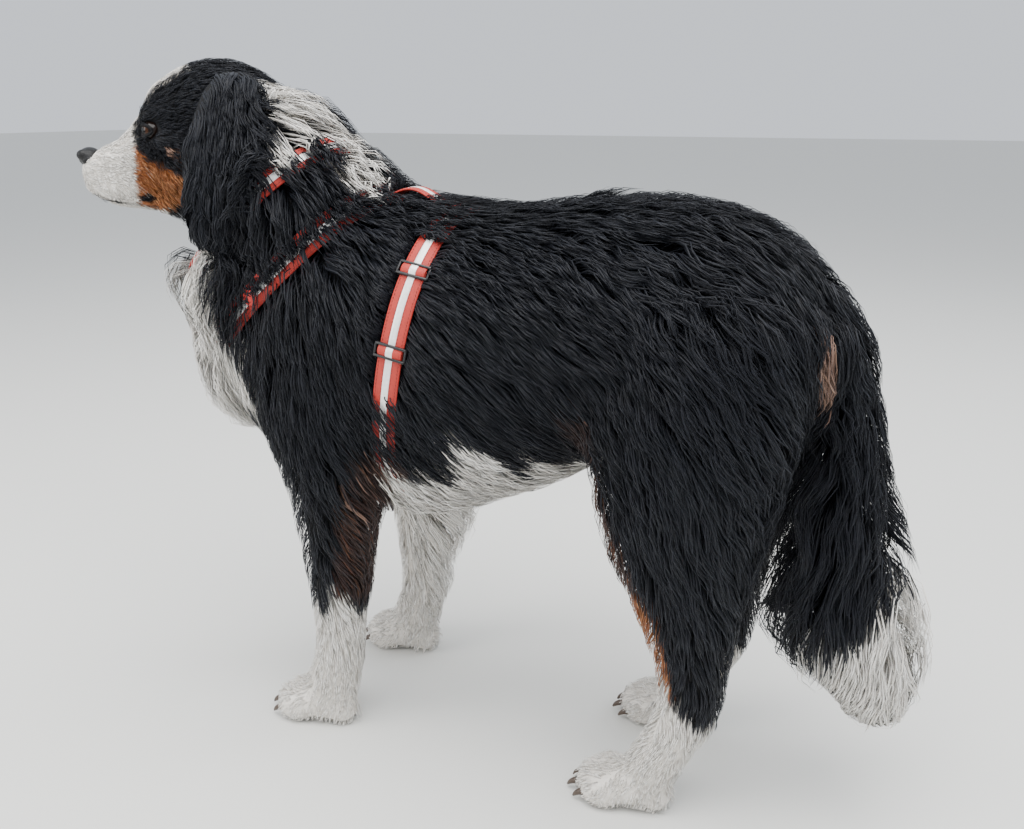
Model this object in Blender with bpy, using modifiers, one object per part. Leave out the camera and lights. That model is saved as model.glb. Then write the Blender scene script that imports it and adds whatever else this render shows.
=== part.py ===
"""A Bernese mountain dog standing with its head turned to its left, life size.

Metres, +Z up. The dog faces -X and its left side is towards -Y. Every body form is given by the
envelope of its coat and by the coat's depth there, so that the firm body under the coat, the coat's
core and the tips of its locks all come from the same sizes.
"""

import math
import random

import bmesh
import bpy
import numpy as np
from mathutils import Matrix, Vector
from mathutils.bvhtree import BVHTree

# Where the middle of the whole dog lies in the frame that its sizes are given in
CENTRE = Vector((0.020, 0.000, 0.0))

GAP = 0.0003  # between touching pieces
CORE_SHARE = 0.5  # how much of the coat's depth is taken off the envelope

# Head: its middle, the turn to the left and the plane of its profile
HEAD_MIDDLE = Vector((-0.377, -0.042, 0.0))
HEAD_TURN = math.radians(38)

# Collar and harness
COLLAR_WIDTH = 0.025
STRAP_WIDTH = 0.030
STRAP_THICKNESS = 0.0032
STRAP_SUNK = 0.0012
NECK_SLOPE = math.radians(42.5)  # of the neck's line, from upright
COLLAR_MIDDLE = Vector((-0.262, -0.003, 0.661))
NECK_LOOP_MIDDLE = Vector((-0.190, 0.0, 0.612))
GIRTH_MIDDLE = Vector((-0.0465, 0.0, 0.490))
GIRTH_NORMAL = (1.0, 0.0, -0.18)
GIRTH_START = (0.0, -0.096, 0.995)  # so that points of the loop fall on both sliders
STRAP_HUB = Vector((-0.150, 0.0, 0.490))  # inside the trunk, where the straps' angles are measured
BACK_STRAP_ANGLES = (math.radians(79), math.radians(56.5))
BACK_STRAP_POINTS, CHEST_STRAP_POINTS = 5, 12
CHEST_STRAP_ANGLES = (math.radians(196), math.radians(291))
SLIDER_WIDTH, SLIDER_HEIGHT, SLIDER_DEPTH = 0.040, 0.016, 0.0076
SLIDERS = {"harness_slider_upper": math.radians(42), "harness_slider_lower": math.radians(77.5)}
RIVET_RADIUS, RIVET_HEIGHT, RIVET_ANGLE = 0.0095, 0.004, math.radians(125)
HEAD_SEAM = 0.020  # from the collar's middle, along the neck
NECK_SEAM = -0.042

EYE_RADIUS = 0.0112
EYE_PLACE = (0.0410, 0.0380, 0.7470)  # ahead of the head's middle, sideways, height
EYE_SPLAY = math.radians(34)  # turned out from straight ahead
LID_POINTS = 7

# A lock's stations from root to tip: place along it, and shares of its width, thickness and lift
LOCK_FORM = [(0.00, 0.70, 1.0, 0.00), (0.34, 1.00, 1.0, 0.50), (0.72, 0.78, 0.8, 0.95), (1.00, 0.04, 0.1, 0.85)]
LOCK_TRIES = 9000
HEAD_LOCK_TRIES = 3000
EAR_LOCK_TRIES = 900
LOCK_THICKNESS = 0.008
LOCK_SUNK = 0.009  # twice over, once for the lock and once for the heel behind it
EAR_LOCK_SUNK = 0.003
LOCK_HEEL = 0.010  # how far the root runs back under the coat
LOCK_HANG = 0.012  # how far the coat may fall away under a lock before it hangs free
LOCK_LEAST = 0.036  # the shortest lock, in front of a strap
LOCK_STRAY = math.radians(14)
LOCK_BEND = math.radians(34)
VOXEL_BODY = 0.0055
VOXEL_HEAD = 0.0030
BODY_TRIANGLES = 2700
HEAD_TRIANGLES = 1400
EAR_TRIANGLES = 300
TRIANGLES_A_LOCK = 19

SIDES = {"left": -1, "right": 1}


def clear_scene():
    for obj in list(bpy.data.objects):
        bpy.data.objects.remove(obj)


def link(name, mesh, collection):
    obj = bpy.data.objects.new(name, mesh)
    collection.objects.link(obj)
    return obj


def collection_named(name, shown=True):
    found = bpy.data.collections.new(name)
    bpy.context.scene.collection.children.link(found)
    found.hide_render = not shown
    return found


def head_point(forward, side, height):
    """A place on the head: ahead of its middle, to the dog's right of its profile plane, and height."""
    ahead = Vector((-math.cos(HEAD_TURN), -math.sin(HEAD_TURN), 0))
    across = Vector((-math.sin(HEAD_TURN), math.cos(HEAD_TURN), 0))
    return HEAD_MIDDLE + ahead * forward + across * side + Vector((0, 0, height))


def head_turned():
    """Turns a shape made facing -X so that it faces as the head does."""
    return Matrix.Rotation(HEAD_TURN, 4, "Z")


HEAD_ACROSS = Vector((-math.sin(HEAD_TURN), math.cos(HEAD_TURN), 0))


def smooth_rows(rows, steps):
    """Rows of numbers read from a smooth curve through the given ones."""
    rows = np.array(rows, float)
    before = np.vstack([2 * rows[0] - rows[1], rows, 2 * rows[-1] - rows[-2]])
    out = []
    for i in range(len(rows) - 1):
        a, b, c, d = before[i : i + 4]
        for t in np.arange(steps) / steps:
            out.append(
                0.5 * (2 * b + (c - a) * t + (2 * a - 5 * b + 4 * c - d) * t**2
                       + (3 * b - a - 3 * c + d) * t**3)
            )
    out.append(rows[-1])
    return np.array(out)


def ring_mesh(name, rings, close_ends=True, loop=False):
    """A skin over rings of equal point count, with its faces outwards."""
    count = len(rings[0])
    points = [tuple(p) for ring in rings for p in ring]
    faces = []
    last = len(rings) if loop else len(rings) - 1
    for i in range(last):
        j = (i + 1) % len(rings)
        for k in range(count):
            n = (k + 1) % count
            faces.append((i * count + k, i * count + n, j * count + n, j * count + k))
    if close_ends and not loop:
        faces.append(tuple(range(count))[::-1])
        faces.append(tuple(range((len(rings) - 1) * count, len(rings) * count)))
    mesh = bpy.data.meshes.new(name)
    mesh.from_pydata(points, [], faces)
    shape = bmesh.new()
    shape.from_mesh(mesh)
    bmesh.ops.recalc_face_normals(shape, faces=shape.faces)
    bmesh.ops.triangulate(shape, faces=shape.faces)
    if shape.calc_volume(signed=True) < 0:
        bmesh.ops.reverse_faces(shape, faces=shape.faces)
    shape.to_mesh(mesh)
    shape.free()
    return mesh


def tube(stations, side, share, power=2.0, points=20, steps=4, grow=0.0):
    """A limb or trunk through stations (x, y, z, half width, half height, coat depth) with domed ends."""
    rows = smooth_rows(stations, steps)
    side = Vector(side).normalized()
    rings = []
    turns = np.arange(points) * 2 * math.pi / points
    profile = [
        (math.copysign(abs(math.cos(a)) ** (2 / power), math.cos(a)),
         math.copysign(abs(math.sin(a)) ** (2 / power), math.sin(a)))
        for a in turns
    ]

    def ring(middle, along, wide, high):
        up = along.cross(side).normalized()
        across = up.cross(along).normalized()
        return [middle + across * (wide * c) + up * (high * s) for c, s in profile]

    ways = [Vector(rows[min(i + 1, len(rows) - 1)][:3] - rows[max(i - 1, 0)][:3]).normalized()
            for i in range(len(rows))]
    sizes = [(max(r[3] - share * r[5], 0.004) + grow, max(r[4] - share * r[5], 0.004) + grow)
             for r in rows]
    domes = [(0.86, 0.50), (0.45, 0.89)]
    for reach, out in reversed(domes):
        depth = 0.8 * min(sizes[0])
        rings.append(ring(Vector(rows[0][:3]) - ways[0] * depth * out, ways[0],
                          sizes[0][0] * reach, sizes[0][1] * reach))
    for row, way, size in zip(rows, ways, sizes):
        rings.append(ring(Vector(row[:3]), way, *size))
    for reach, out in domes:
        depth = 0.8 * min(sizes[-1])
        rings.append(ring(Vector(rows[-1][:3]) + ways[-1] * depth * out, ways[-1],
                          sizes[-1][0] * reach, sizes[-1][1] * reach))
    return ring_mesh("tube", rings)


def ball(middle, radii, share=0.0, coat=0.0, turn=None, grow=0.0, rings=12, segments=20):
    """An egg-shaped mass."""
    shape = bmesh.new()
    bmesh.ops.create_uvsphere(shape, u_segments=segments, v_segments=rings, radius=1)
    size = Matrix.Diagonal([max(r - share * coat, 0.003) + grow for r in radii] + [1])
    bmesh.ops.transform(shape, matrix=(turn or Matrix.Identity(4)) @ size, verts=shape.verts)
    bmesh.ops.translate(shape, vec=middle, verts=shape.verts)
    mesh = bpy.data.meshes.new("ball")
    bmesh.ops.triangulate(shape, faces=shape.faces)
    shape.to_mesh(mesh)
    shape.free()
    return mesh


def joined(meshes):
    shape = bmesh.new()
    for mesh in meshes:
        shape.from_mesh(mesh)
        bpy.data.meshes.remove(mesh)
    result = bpy.data.meshes.new("joined")
    shape.to_mesh(result)
    shape.free()
    return result


def applied(obj):
    """The object's mesh with its modifiers taken in."""
    graph = bpy.context.evaluated_depsgraph_get()
    mesh = bpy.data.meshes.new_from_object(obj.evaluated_get(graph))
    obj.modifiers.clear()
    old = obj.data
    obj.data = mesh
    bpy.data.meshes.remove(old)


def triangle_count(mesh):
    mesh.calc_loop_triangles()
    return len(mesh.loop_triangles)


def blended(name, meshes, voxel, fillet, rounds, triangles, collection):
    """The pieces as one smooth body of about the given number of triangles.

    Growing it by the fillet's radius and shrinking it again fills the creases between the pieces.
    """
    obj = link(name, joined(meshes), collection)
    for offset in (fillet, -fillet):
        remesh = obj.modifiers.new("one_body", "REMESH")
        remesh.mode = "VOXEL"
        remesh.voxel_size = voxel
        relax = obj.modifiers.new("relax", "SMOOTH")
        relax.factor = 0.5
        relax.iterations = rounds
        swell = obj.modifiers.new("swell", "DISPLACE")
        swell.mid_level = 0
        swell.strength = offset
    relax = obj.modifiers.new("relax", "SMOOTH")
    relax.factor = 0.5
    relax.iterations = rounds
    applied(obj)
    thinned(obj, triangles)
    return obj


def keep_largest(obj):
    shape = bmesh.new()
    shape.from_mesh(obj.data)
    left = set(shape.verts)
    groups = []
    while left:
        group = {left.pop()}
        edge = list(group)
        while edge:
            vert = edge.pop()
            for link_edge in vert.link_edges:
                other = link_edge.other_vert(vert)
                if other in left:
                    left.discard(other)
                    group.add(other)
                    edge.append(other)
        groups.append(group)
    largest = max(groups, key=len)
    for group in groups:
        if group is not largest:
            bmesh.ops.delete(shape, geom=list(group), context="VERTS")
    shape.to_mesh(obj.data)
    shape.free()


def boolean(obj, other, operation):
    cut = obj.modifiers.new("cut", "BOOLEAN")
    cut.operation = operation
    cut.solver = "MANIFOLD"
    if isinstance(other, bpy.types.Collection):
        cut.operand_type = "COLLECTION"
        cut.collection = other
    else:
        cut.object = other
    applied(obj)


def copied(obj, name, collection):
    return link(name, obj.data.copy(), collection)


# The trunk: height of its upper and lower outline, half width and coat depth along the spine
TRUNK = [
    (-0.325, 0.600, 0.410, 0.092, 0.040),
    (-0.270, 0.655, 0.352, 0.130, 0.040),
    (-0.200, 0.678, 0.315, 0.149, 0.038),
    (-0.120, 0.686, 0.296, 0.157, 0.035),
    (-0.050, 0.686, 0.292, 0.159, 0.032),
    (0.040, 0.684, 0.325, 0.158, 0.032),
    (0.120, 0.686, 0.370, 0.152, 0.032),
    (0.200, 0.694, 0.392, 0.152, 0.035),
    (0.270, 0.687, 0.408, 0.154, 0.038),
    (0.330, 0.655, 0.430, 0.142, 0.040),
    (0.370, 0.610, 0.455, 0.110, 0.040),
]

NECK = [
    (-0.130, 0.000, 0.560, 0.125, 0.128, 0.045),
    (-0.196, 0.000, 0.602, 0.130, 0.132, 0.055),
    (-0.250, -0.003, 0.660, 0.126, 0.124, 0.058),
    (-0.290, -0.003, 0.716, 0.108, 0.112, 0.047),
]

TAIL = [
    (0.345, 0.000, 0.598, 0.055, 0.050, 0.030),
    (0.392, 0.000, 0.556, 0.050, 0.045, 0.030),
    (0.414, 0.000, 0.480, 0.044, 0.040, 0.026),
    (0.422, 0.000, 0.400, 0.048, 0.046, 0.032),
    (0.428, 0.000, 0.320, 0.054, 0.062, 0.042),
    (0.448, 0.000, 0.245, 0.058, 0.078, 0.052),
    (0.474, 0.000, 0.185, 0.054, 0.068, 0.050),
    (0.482, 0.000, 0.138, 0.036, 0.042, 0.034),
]

# Each leg from the body down to the pastern, in its own side plane: x, sideways, z, half width,
# half depth and coat depth; sideways grows away from the median
FORELEG = [
    (-0.185, 0.070, 0.540, 0.070, 0.100, 0.035),
    (-0.170, 0.100, 0.450, 0.060, 0.095, 0.030),
    (-0.158, 0.108, 0.380, 0.052, 0.080, 0.028),
    (-0.157, 0.105, 0.320, 0.046, 0.066, 0.024),
    (-0.160, 0.102, 0.250, 0.040, 0.052, 0.018),
    (-0.164, 0.100, 0.160, 0.034, 0.036, 0.010),
    (-0.170, 0.100, 0.100, 0.034, 0.034, 0.008),
    (-0.184, 0.100, 0.055, 0.037, 0.038, 0.007),
]
HINDLEG = [
    (0.285, 0.075, 0.560, 0.085, 0.120, 0.040),
    (0.275, 0.095, 0.470, 0.075, 0.118, 0.040),
    (0.270, 0.100, 0.390, 0.064, 0.105, 0.036),
    (0.272, 0.100, 0.330, 0.055, 0.088, 0.032),
    (0.279, 0.098, 0.260, 0.044, 0.064, 0.024),
    (0.284, 0.096, 0.200, 0.037, 0.046, 0.016),
    (0.282, 0.095, 0.145, 0.033, 0.038, 0.010),
    (0.262, 0.095, 0.100, 0.031, 0.033, 0.008),
    (0.238, 0.095, 0.055, 0.034, 0.034, 0.007),
]
# Where each foot stands, and how far its pastern is shifted to meet it
FEET = {
    "foreleg_left": (-0.194, -0.093),
    "foreleg_right": (-0.182, 0.112),
    "hindleg_left": (0.230, -0.095),
    "hindleg_right": (0.228, 0.080),
}
PAW_WIDTH = {"foreleg": 0.041, "hindleg": 0.037}  # half of it, over the toes
# Each toe: sideways as a share of the paw's half width, and ahead of the foot's middle
TOES = [(-0.72, -0.026), (-0.27, -0.039), (0.27, -0.039), (0.72, -0.026)]


def leg_rows(name):
    kind, side = name.split("_")
    rows = []
    table = FORELEG if kind == "foreleg" else HINDLEG
    foot_x, foot_y = FEET[name]
    behind = 0.018 if kind == "foreleg" else 0.026
    shift_x = foot_x + behind - table[-1][0]
    shift_y = foot_y - SIDES[side] * table[-1][1]
    top, low = table[0][2], table[-1][2]
    for x, out, z, wide, deep, coat in table:
        share = (top - z) / (top - low)
        rows.append((x + shift_x * share**2, SIDES[side] * out + shift_y * share, z, wide, deep, coat))
    return rows


def paw(name, share):
    """Four toes side by side and the pad behind them."""
    foot_x, foot_y = FEET[name]
    pieces = []
    wide = PAW_WIDTH[name.split("_")[0]]
    for across, ahead in TOES:
        pieces.append(ball(
            Vector((foot_x + ahead, foot_y + across * wide, 0.0205)),
            (0.028, 0.0148, 0.0230), share, 0.004,
            Matrix.Rotation(-0.10 * across, 4, "Z"),
        ))
    pieces.append(ball(Vector((foot_x + 0.002, foot_y, 0.026)), (0.044, wide * 0.90, 0.031), share, 0.006))
    pieces.append(ball(Vector((foot_x + 0.032, foot_y, 0.018)), (0.024, wide * 0.70, 0.024), share, 0.006))
    return pieces


def body_pieces(share):
    trunk = [(x, 0, (top + low) / 2, wide, (top - low) / 2, coat) for x, top, low, wide, coat in TRUNK]
    pieces = [
        tube(trunk, (0, 1, 0), share, power=2.2),
        tube(NECK, (0, 1, 0), share),
        tube(TAIL, (0, 1, 0), share),
        ball(Vector((-0.352, -0.052, 0.575)), (0.056, 0.080, 0.068), share, 0.045),
        ball(Vector((-0.322, 0.000, 0.480)), (0.062, 0.110, 0.115), share, 0.045),
        ball(Vector((-0.290, 0.000, 0.545)), (0.085, 0.125, 0.090), share, 0.045),
    ]
    for name in FEET:
        pieces.append(tube(leg_rows(name), (0, 1, 0), share))
        pieces += paw(name, share)
    return pieces


def head_pieces(share):
    turn = head_turned()

    def mass(forward, side, height, radii, coat):
        return ball(head_point(forward, side, height), radii, share, coat, turn)

    def stretch(rows, power=2.0):
        points = [tuple(head_point(a, 0, z)) + (w, h, c) for a, z, w, h, c in rows]
        return tube(points, HEAD_ACROSS, share, power)

    pieces = [
        mass(-0.038, 0, 0.764, (0.086, 0.072, 0.069), 0.010),
        mass(0.008, 0, 0.770, (0.046, 0.054, 0.043), 0.008),
        stretch([
            (0.000, 0.712, 0.050, 0.056, 0.006),
            (0.045, 0.706, 0.040, 0.047, 0.005),
            (0.080, 0.699, 0.036, 0.038, 0.004),
            (0.108, 0.696, 0.031, 0.030, 0.003),
        ], power=2.4),
        stretch([
            (-0.050, 0.730, 0.080, 0.078, 0.012),
            (-0.010, 0.728, 0.072, 0.074, 0.010),
            (0.026, 0.720, 0.058, 0.060, 0.007),
            (0.050, 0.710, 0.044, 0.047, 0.005),
        ]),
        stretch([
            (-0.020, 0.668, 0.046, 0.026, 0.008),
            (0.040, 0.664, 0.034, 0.016, 0.005),
            (0.092, 0.667, 0.022, 0.011, 0.003),
        ]),
        tube(NECK[1:], (0, 1, 0), share),
        mass(-0.060, 0, 0.690, (0.085, 0.088, 0.072), 0.030),
    ]
    for side in SIDES.values():
        pieces += [
            mass(-0.014, side * 0.042, 0.704, (0.060, 0.038, 0.050), 0.014),
            mass(0.012, side * 0.050, 0.732, (0.034, 0.018, 0.020), 0.005),
            mass(0.076, side * 0.020, 0.682, (0.042, 0.020, 0.025), 0.003),
            mass(0.036, side * 0.032, 0.766, (0.021, 0.019, 0.015), 0.004),
        ]
    return pieces


def nose_mesh(grow=0.0):
    """The leather of the nose; its nostrils are cut in main."""
    turn = head_turned()
    shape = {"turn": turn, "grow": grow, "rings": 8, "segments": 12}
    return [ball(head_point(0.1185, 0, 0.7155), (0.0135, 0.0185, 0.0125), **shape),
            ball(head_point(0.1140, 0, 0.7080), (0.0100, 0.0100, 0.0160), **shape)]


def nostril(side):
    """A comma-shaped opening, wide in front and running out to the side."""
    turn = Matrix.Rotation(HEAD_TURN - side * math.radians(28), 4, "Z")
    front = ball(head_point(0.1330, side * 0.0075, 0.7165), (0.0085, 0.0036, 0.0042), turn=turn,
                 rings=4, segments=8)
    slit = ball(head_point(0.1250, side * 0.0165, 0.7125), (0.0075, 0.0030, 0.0020), turn=turn,
                rings=4, segments=8)
    return [front, slit]


def eye_middle(side):
    return head_point(*EYE_PLACE) if side > 0 else head_point(EYE_PLACE[0], -EYE_PLACE[1], EYE_PLACE[2])


def eye_mesh(side, grow=0.0):
    return ball(eye_middle(side), (EYE_RADIUS,) * 3, grow=grow, rings=8, segments=12)


def eye_axes(side):
    """Where the eye looks, its upward direction and the direction to its inner corner."""
    ahead = head_point(1, 0, 0) - head_point(0, 0, 0)
    look = (ahead * math.cos(EYE_SPLAY) + HEAD_ACROSS * side * math.sin(EYE_SPLAY)).normalized()
    up = (Vector((0, 0, 1)) - look * look.z).normalized()
    return look, up, up.cross(look) * side


def lid(side, upper):
    """A rim of skin that lies over the eyeball, from its inner corner to its outer one."""
    look, up, inner = eye_axes(side)
    points = []
    radii = []
    for k in range(LID_POINTS):
        turn = math.pi * k / (LID_POINTS - 1)
        wide = math.cos(turn) * math.sin(math.radians(62))
        high = math.sin(turn) * math.sin(math.radians(38 if upper else 30)) * (1 if upper else -1)
        way = (look * math.sqrt(max(0.05, 1 - wide**2 - high**2)) + inner * wide + up * high).normalized()
        points.append(eye_middle(side) + way * (EYE_RADIUS + 0.0006))
        radii.append(0.0015 + 0.0012 * math.sin(turn))
    return bead(points, [(p - eye_middle(side)).normalized() for p in points], radii)


def bead(points, normals, radii, sides=5):
    """A round cord of flesh, or a groove's cutter, through points that lie on a surface."""
    rings = []
    last = len(points) - 1
    for k, (point, normal, radius) in enumerate(zip(points, normals, radii)):
        along = (points[min(k + 1, last)] - points[max(k - 1, 0)]).normalized()
        across = normal.cross(along).normalized()
        up = along.cross(across)
        rings.append([point + (across * math.cos(a) + up * math.sin(a)) * radius
                      for a in np.arange(sides) * 2 * math.pi / sides])
    return ring_mesh("bead", rings)


# The line of the mouth on one side, from under the nose to its corner: ahead, sideways, height
MOUTH = [
    (0.1180, 0.004, 0.682),
    (0.1120, 0.015, 0.673),
    (0.1000, 0.026, 0.665),
    (0.0840, 0.034, 0.660),
    (0.0660, 0.039, 0.657),
    (0.0480, 0.043, 0.660),
]


def along_mouth(tree, side, lift):
    """Points of the mouth's line on the head's surface, and the surface's normals there."""
    points = []
    normals = []
    for a, b, z in smooth_rows(MOUTH, 2):
        place, normal, _, _ = tree.find_nearest(head_point(a, side * b, z + lift))
        points.append(place)
        normals.append(normal)
    return points, normals


EAR = [
    (-0.062, 0.058, 0.806, 0.026, 0.012),
    (-0.056, 0.078, 0.788, 0.036, 0.011),
    (-0.046, 0.090, 0.750, 0.043, 0.010),
    (-0.034, 0.097, 0.705, 0.044, 0.010),
    (-0.022, 0.098, 0.660, 0.034, 0.010),
    (-0.012, 0.095, 0.620, 0.014, 0.008),
]


def ear_mesh(side, grow=0.0):
    rows = [tuple(head_point(a, side * b, z)) + (w, h, 0) for a, b, z, w, h in EAR]
    ahead = Vector((-math.cos(HEAD_TURN), -math.sin(HEAD_TURN), 0))
    return tube(rows, ahead, 0, power=2.0, points=8, steps=2, grow=grow)


def ear_cup(side):
    """The hollow of the ear, on the face towards the cheek."""
    middle = head_point(-0.044, side * 0.0795, 0.745)
    return ball(middle, (0.027, 0.0065, 0.042), turn=head_turned(), rings=6, segments=10)


def claw_mesh(name, toe, grow=0.0):
    """A short blunt claw that curves down out of the front of its toe."""
    foot_x, foot_y = FEET[name]
    across, ahead = TOES[toe]
    y = foot_y + across * PAW_WIDTH[name.split("_")[0]]
    front = foot_x + ahead - 0.028
    points = [Vector((front + 0.009, y, 0.0150)), Vector((front, y, 0.0115)), Vector((front - 0.0055, y, 0.0062))]
    radii = [0.0038 + grow, 0.0032 + grow, 0.0013 + grow]
    points[0].x += grow
    points[-1].x -= grow
    return bead(points, [Vector((0, 0, 1))] * 3, radii)


def surface_of(obj):
    return BVHTree.FromPolygons([v.co for v in obj.data.vertices], [p.vertices for p in obj.data.polygons])


def band_mesh(path, normals, ways, width, thickness, sunk, loop, grow=0.0):
    """A flat strap along a path, its face square to the surface normals."""
    rings = []
    half, low, high = width / 2 + grow, -sunk - grow, thickness - sunk + grow
    for p, n, w in zip(path, normals, ways):
        across = n.cross(w).normalized()
        rings.append([p + across * half + n * low, p + across * half + n * high,
                      p - across * half + n * high, p - across * half + n * low])
    return ring_mesh("band", rings, loop=loop)


def loop_path(tree, middle, normal, start, count=30, reach=0.6, rounds=3):
    """Points where the plane through middle, square to normal, meets the coat, evened out."""
    normal = Vector(normal).normalized()
    first = Vector(start)
    first = (first - normal * first.dot(normal)).normalized()
    second = normal.cross(first)
    radii = []
    ways = []
    for k in range(count):
        a = 2 * math.pi * k / count
        way = first * math.cos(a) + second * math.sin(a)
        hit = tree.ray_cast(middle + way * reach, -way)[0]
        radii.append((hit - middle).length)
        ways.append(way)
    for _ in range(rounds):
        radii = [(radii[k - 1] + 2 * radii[k] + radii[(k + 1) % count]) / 4 for k in range(count)]
    path = [middle + w * r for w, r in zip(ways, radii)]
    along = [(path[(k + 1) % count] - path[k - 1]).normalized() for k in range(count)]
    out = [t.cross(normal).normalized() for t in along]
    out = [n if n.dot(w) > 0 else -n for n, w in zip(out, ways)]
    return path, out, along


# What each node is finished in: colour, roughness and metallic value
FINISHES = {
    "black_coat": ((0.012, 0.013, 0.017), 0.55, 0.0),
    "white_coat": ((0.74, 0.71, 0.66), 0.60, 0.0),
    "nose_leather": ((0.010, 0.010, 0.011), 0.35, 0.0),
    "eye": ((0.045, 0.020, 0.010), 0.05, 0.0),
    "claw_horn": ((0.060, 0.045, 0.035), 0.40, 0.0),
    "red_webbing": ((0.56, 0.050, 0.035), 0.70, 0.0),
    "black_plastic": ((0.014, 0.014, 0.015), 0.35, 0.0),
    "red_plastic": ((0.48, 0.040, 0.030), 0.30, 0.0),
}
FINISH_OF = {"claw": "claw_horn", "eye": "eye", "nose": "nose_leather", "collar": "red_webbing",
             "foreleg_right": "white_coat", "harness": "red_webbing", "harness_slider": "black_plastic",
             "harness_rivet": "red_plastic"}


def finish(obj):
    """The node's own material; the longest name that its own begins with decides which."""
    known = [start for start in FINISH_OF if obj.name.startswith(start)]
    colour, roughness, metallic = FINISHES[FINISH_OF[max(known, key=len)] if known else "black_coat"]
    material = bpy.data.materials.new(obj.name)
    material.use_nodes = True
    shader = material.node_tree.nodes["Principled BSDF"]
    shader.inputs["Base Color"].default_value = (*colour, 1)
    shader.inputs["Roughness"].default_value = roughness
    shader.inputs["Metallic"].default_value = metallic
    obj.data.materials.clear()
    obj.data.materials.append(material)


def lock_mesh(tree, root, lie, length, width, lift, bend, sunk):
    """A flat lock of hair with a ridge along it, which leaves the coat at root and rises to a bent tip."""
    rings = []
    place, normal = tree.find_nearest(root)[:2]
    way = (lie - normal * lie.dot(normal)).normalized()
    reached = 0.0
    for share, wide, thick, rise in LOCK_FORM:
        step = length * (share - reached)
        way = Matrix.Rotation(bend * (share - reached), 3, normal) @ way
        reached = share
        near, slope = tree.find_nearest(place + way * step)[:2]
        if (near - place - way * step).length < LOCK_HANG:
            place, normal = near, slope
            way = (way - normal * way.dot(normal)).normalized()
        else:
            way = (way + Vector((0, 0, -1))).normalized()
            normal = (normal - way * normal.dot(way)).normalized()
            place = place + way * step
        middle = place + normal * (lift * rise - sunk * (1 - share) ** 3)
        across = normal.cross(way).normalized() * (width / 2 * wide)
        rings.append([middle - across, middle + normal * (LOCK_THICKNESS * thick), middle + across])
        if share == 0:
            heel = way * LOCK_HEEL + normal * sunk
            rings.insert(0, [p - heel for p in rings[0]])
    return ring_mesh("lock", rings)


def body_coat(place, normal):
    """The coat at a place of the body: spacing, length, width and lift of its locks, and their lie."""
    x, y, z = place
    out = math.copysign(1, y)
    if z < 0.095 or normal.z < -0.93 and z < 0.25:
        return None
    if x > 0.355 and abs(y) < 0.075 and z < 0.60 and (x > 0.40 or z > 0.5):
        low = max(0.0, min(1.0, (0.46 - z) / 0.25))
        if z < 0.145:
            return None
        length = 0.105 if z > 0.21 else 0.075
        return 0.054, length, 0.048, 0.010 + 0.012 * low, Vector((0.12, 0.1 * out, -1))
    if z < 0.40 and abs(y) > 0.045 and x < 0.0:
        if normal.x > 0.25:
            lift = 0.030 if y > 0 else 0.013
            return 0.046, 0.074, 0.044, lift, Vector((0.45, 0.1 * out, -1))
        if z < 0.26:
            return None
        return 0.074, 0.080, 0.056, 0.006, Vector((0.25, 0, -1))
    if z < 0.43 and abs(y) > 0.04 and x > 0.14:
        if normal.x > 0.15 and z > 0.16:
            return 0.054, 0.085, 0.050, 0.012, Vector((0.30, 0, -1))
        if z < 0.27:
            return None
        return 0.076, 0.095, 0.062, 0.008, Vector((0.35, 0, -1))
    if normal.z < -0.55 and z < 0.44:
        return 0.078, 0.080, 0.062, 0.009, Vector((0.85, 0, -0.5))
    if x < -0.22 and z < 0.62:
        return 0.066, 0.100, 0.062, 0.014, Vector((0.15, 0.15 * out, -1))
    if x < -0.14 and z > 0.60:
        return 0.050, 0.075, 0.054, 0.014, Vector((0.60, 0.2 * out, -0.9))
    if x < -0.05 and z > 0.50:
        return 0.062, 0.095, 0.060, 0.011, Vector((0.90, 0.15 * out, -0.75))
    if x > 0.28:
        return 0.066, 0.098, 0.060, 0.012, Vector((0.60, 0.1 * out, -1))
    side = min(1.0, abs(normal.y))
    return 0.074, 0.110, 0.066, 0.011, Vector((0.95, 0.25 * out, -0.75 * side - 0.1))


def head_coat(place, normal):
    """The longer coat at the back of the head and on the throat; the face has none."""
    ahead = (place - HEAD_MIDDLE).dot(head_point(1, 0, 0) - head_point(0, 0, 0))
    if ahead > -0.035 and place.z > 0.66 or ahead > 0.0 or place.z > 0.822:
        return None
    back = Vector((math.cos(HEAD_TURN), math.sin(HEAD_TURN), 0))
    return 0.048, 0.064, 0.042, 0.009, back * 0.5 + Vector((0.2, 0, -1))


def ear_coat(place, normal):
    """Wavy locks that hang over the outer face of the ear and fringe its rear edge."""
    if place.z > 0.79 or (place - HEAD_MIDDLE).dot(HEAD_ACROSS) * normal.dot(HEAD_ACROSS) < 0:
        return None
    return 0.050, 0.066, 0.036, 0.005, Vector((0.25, 0, -1))


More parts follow.
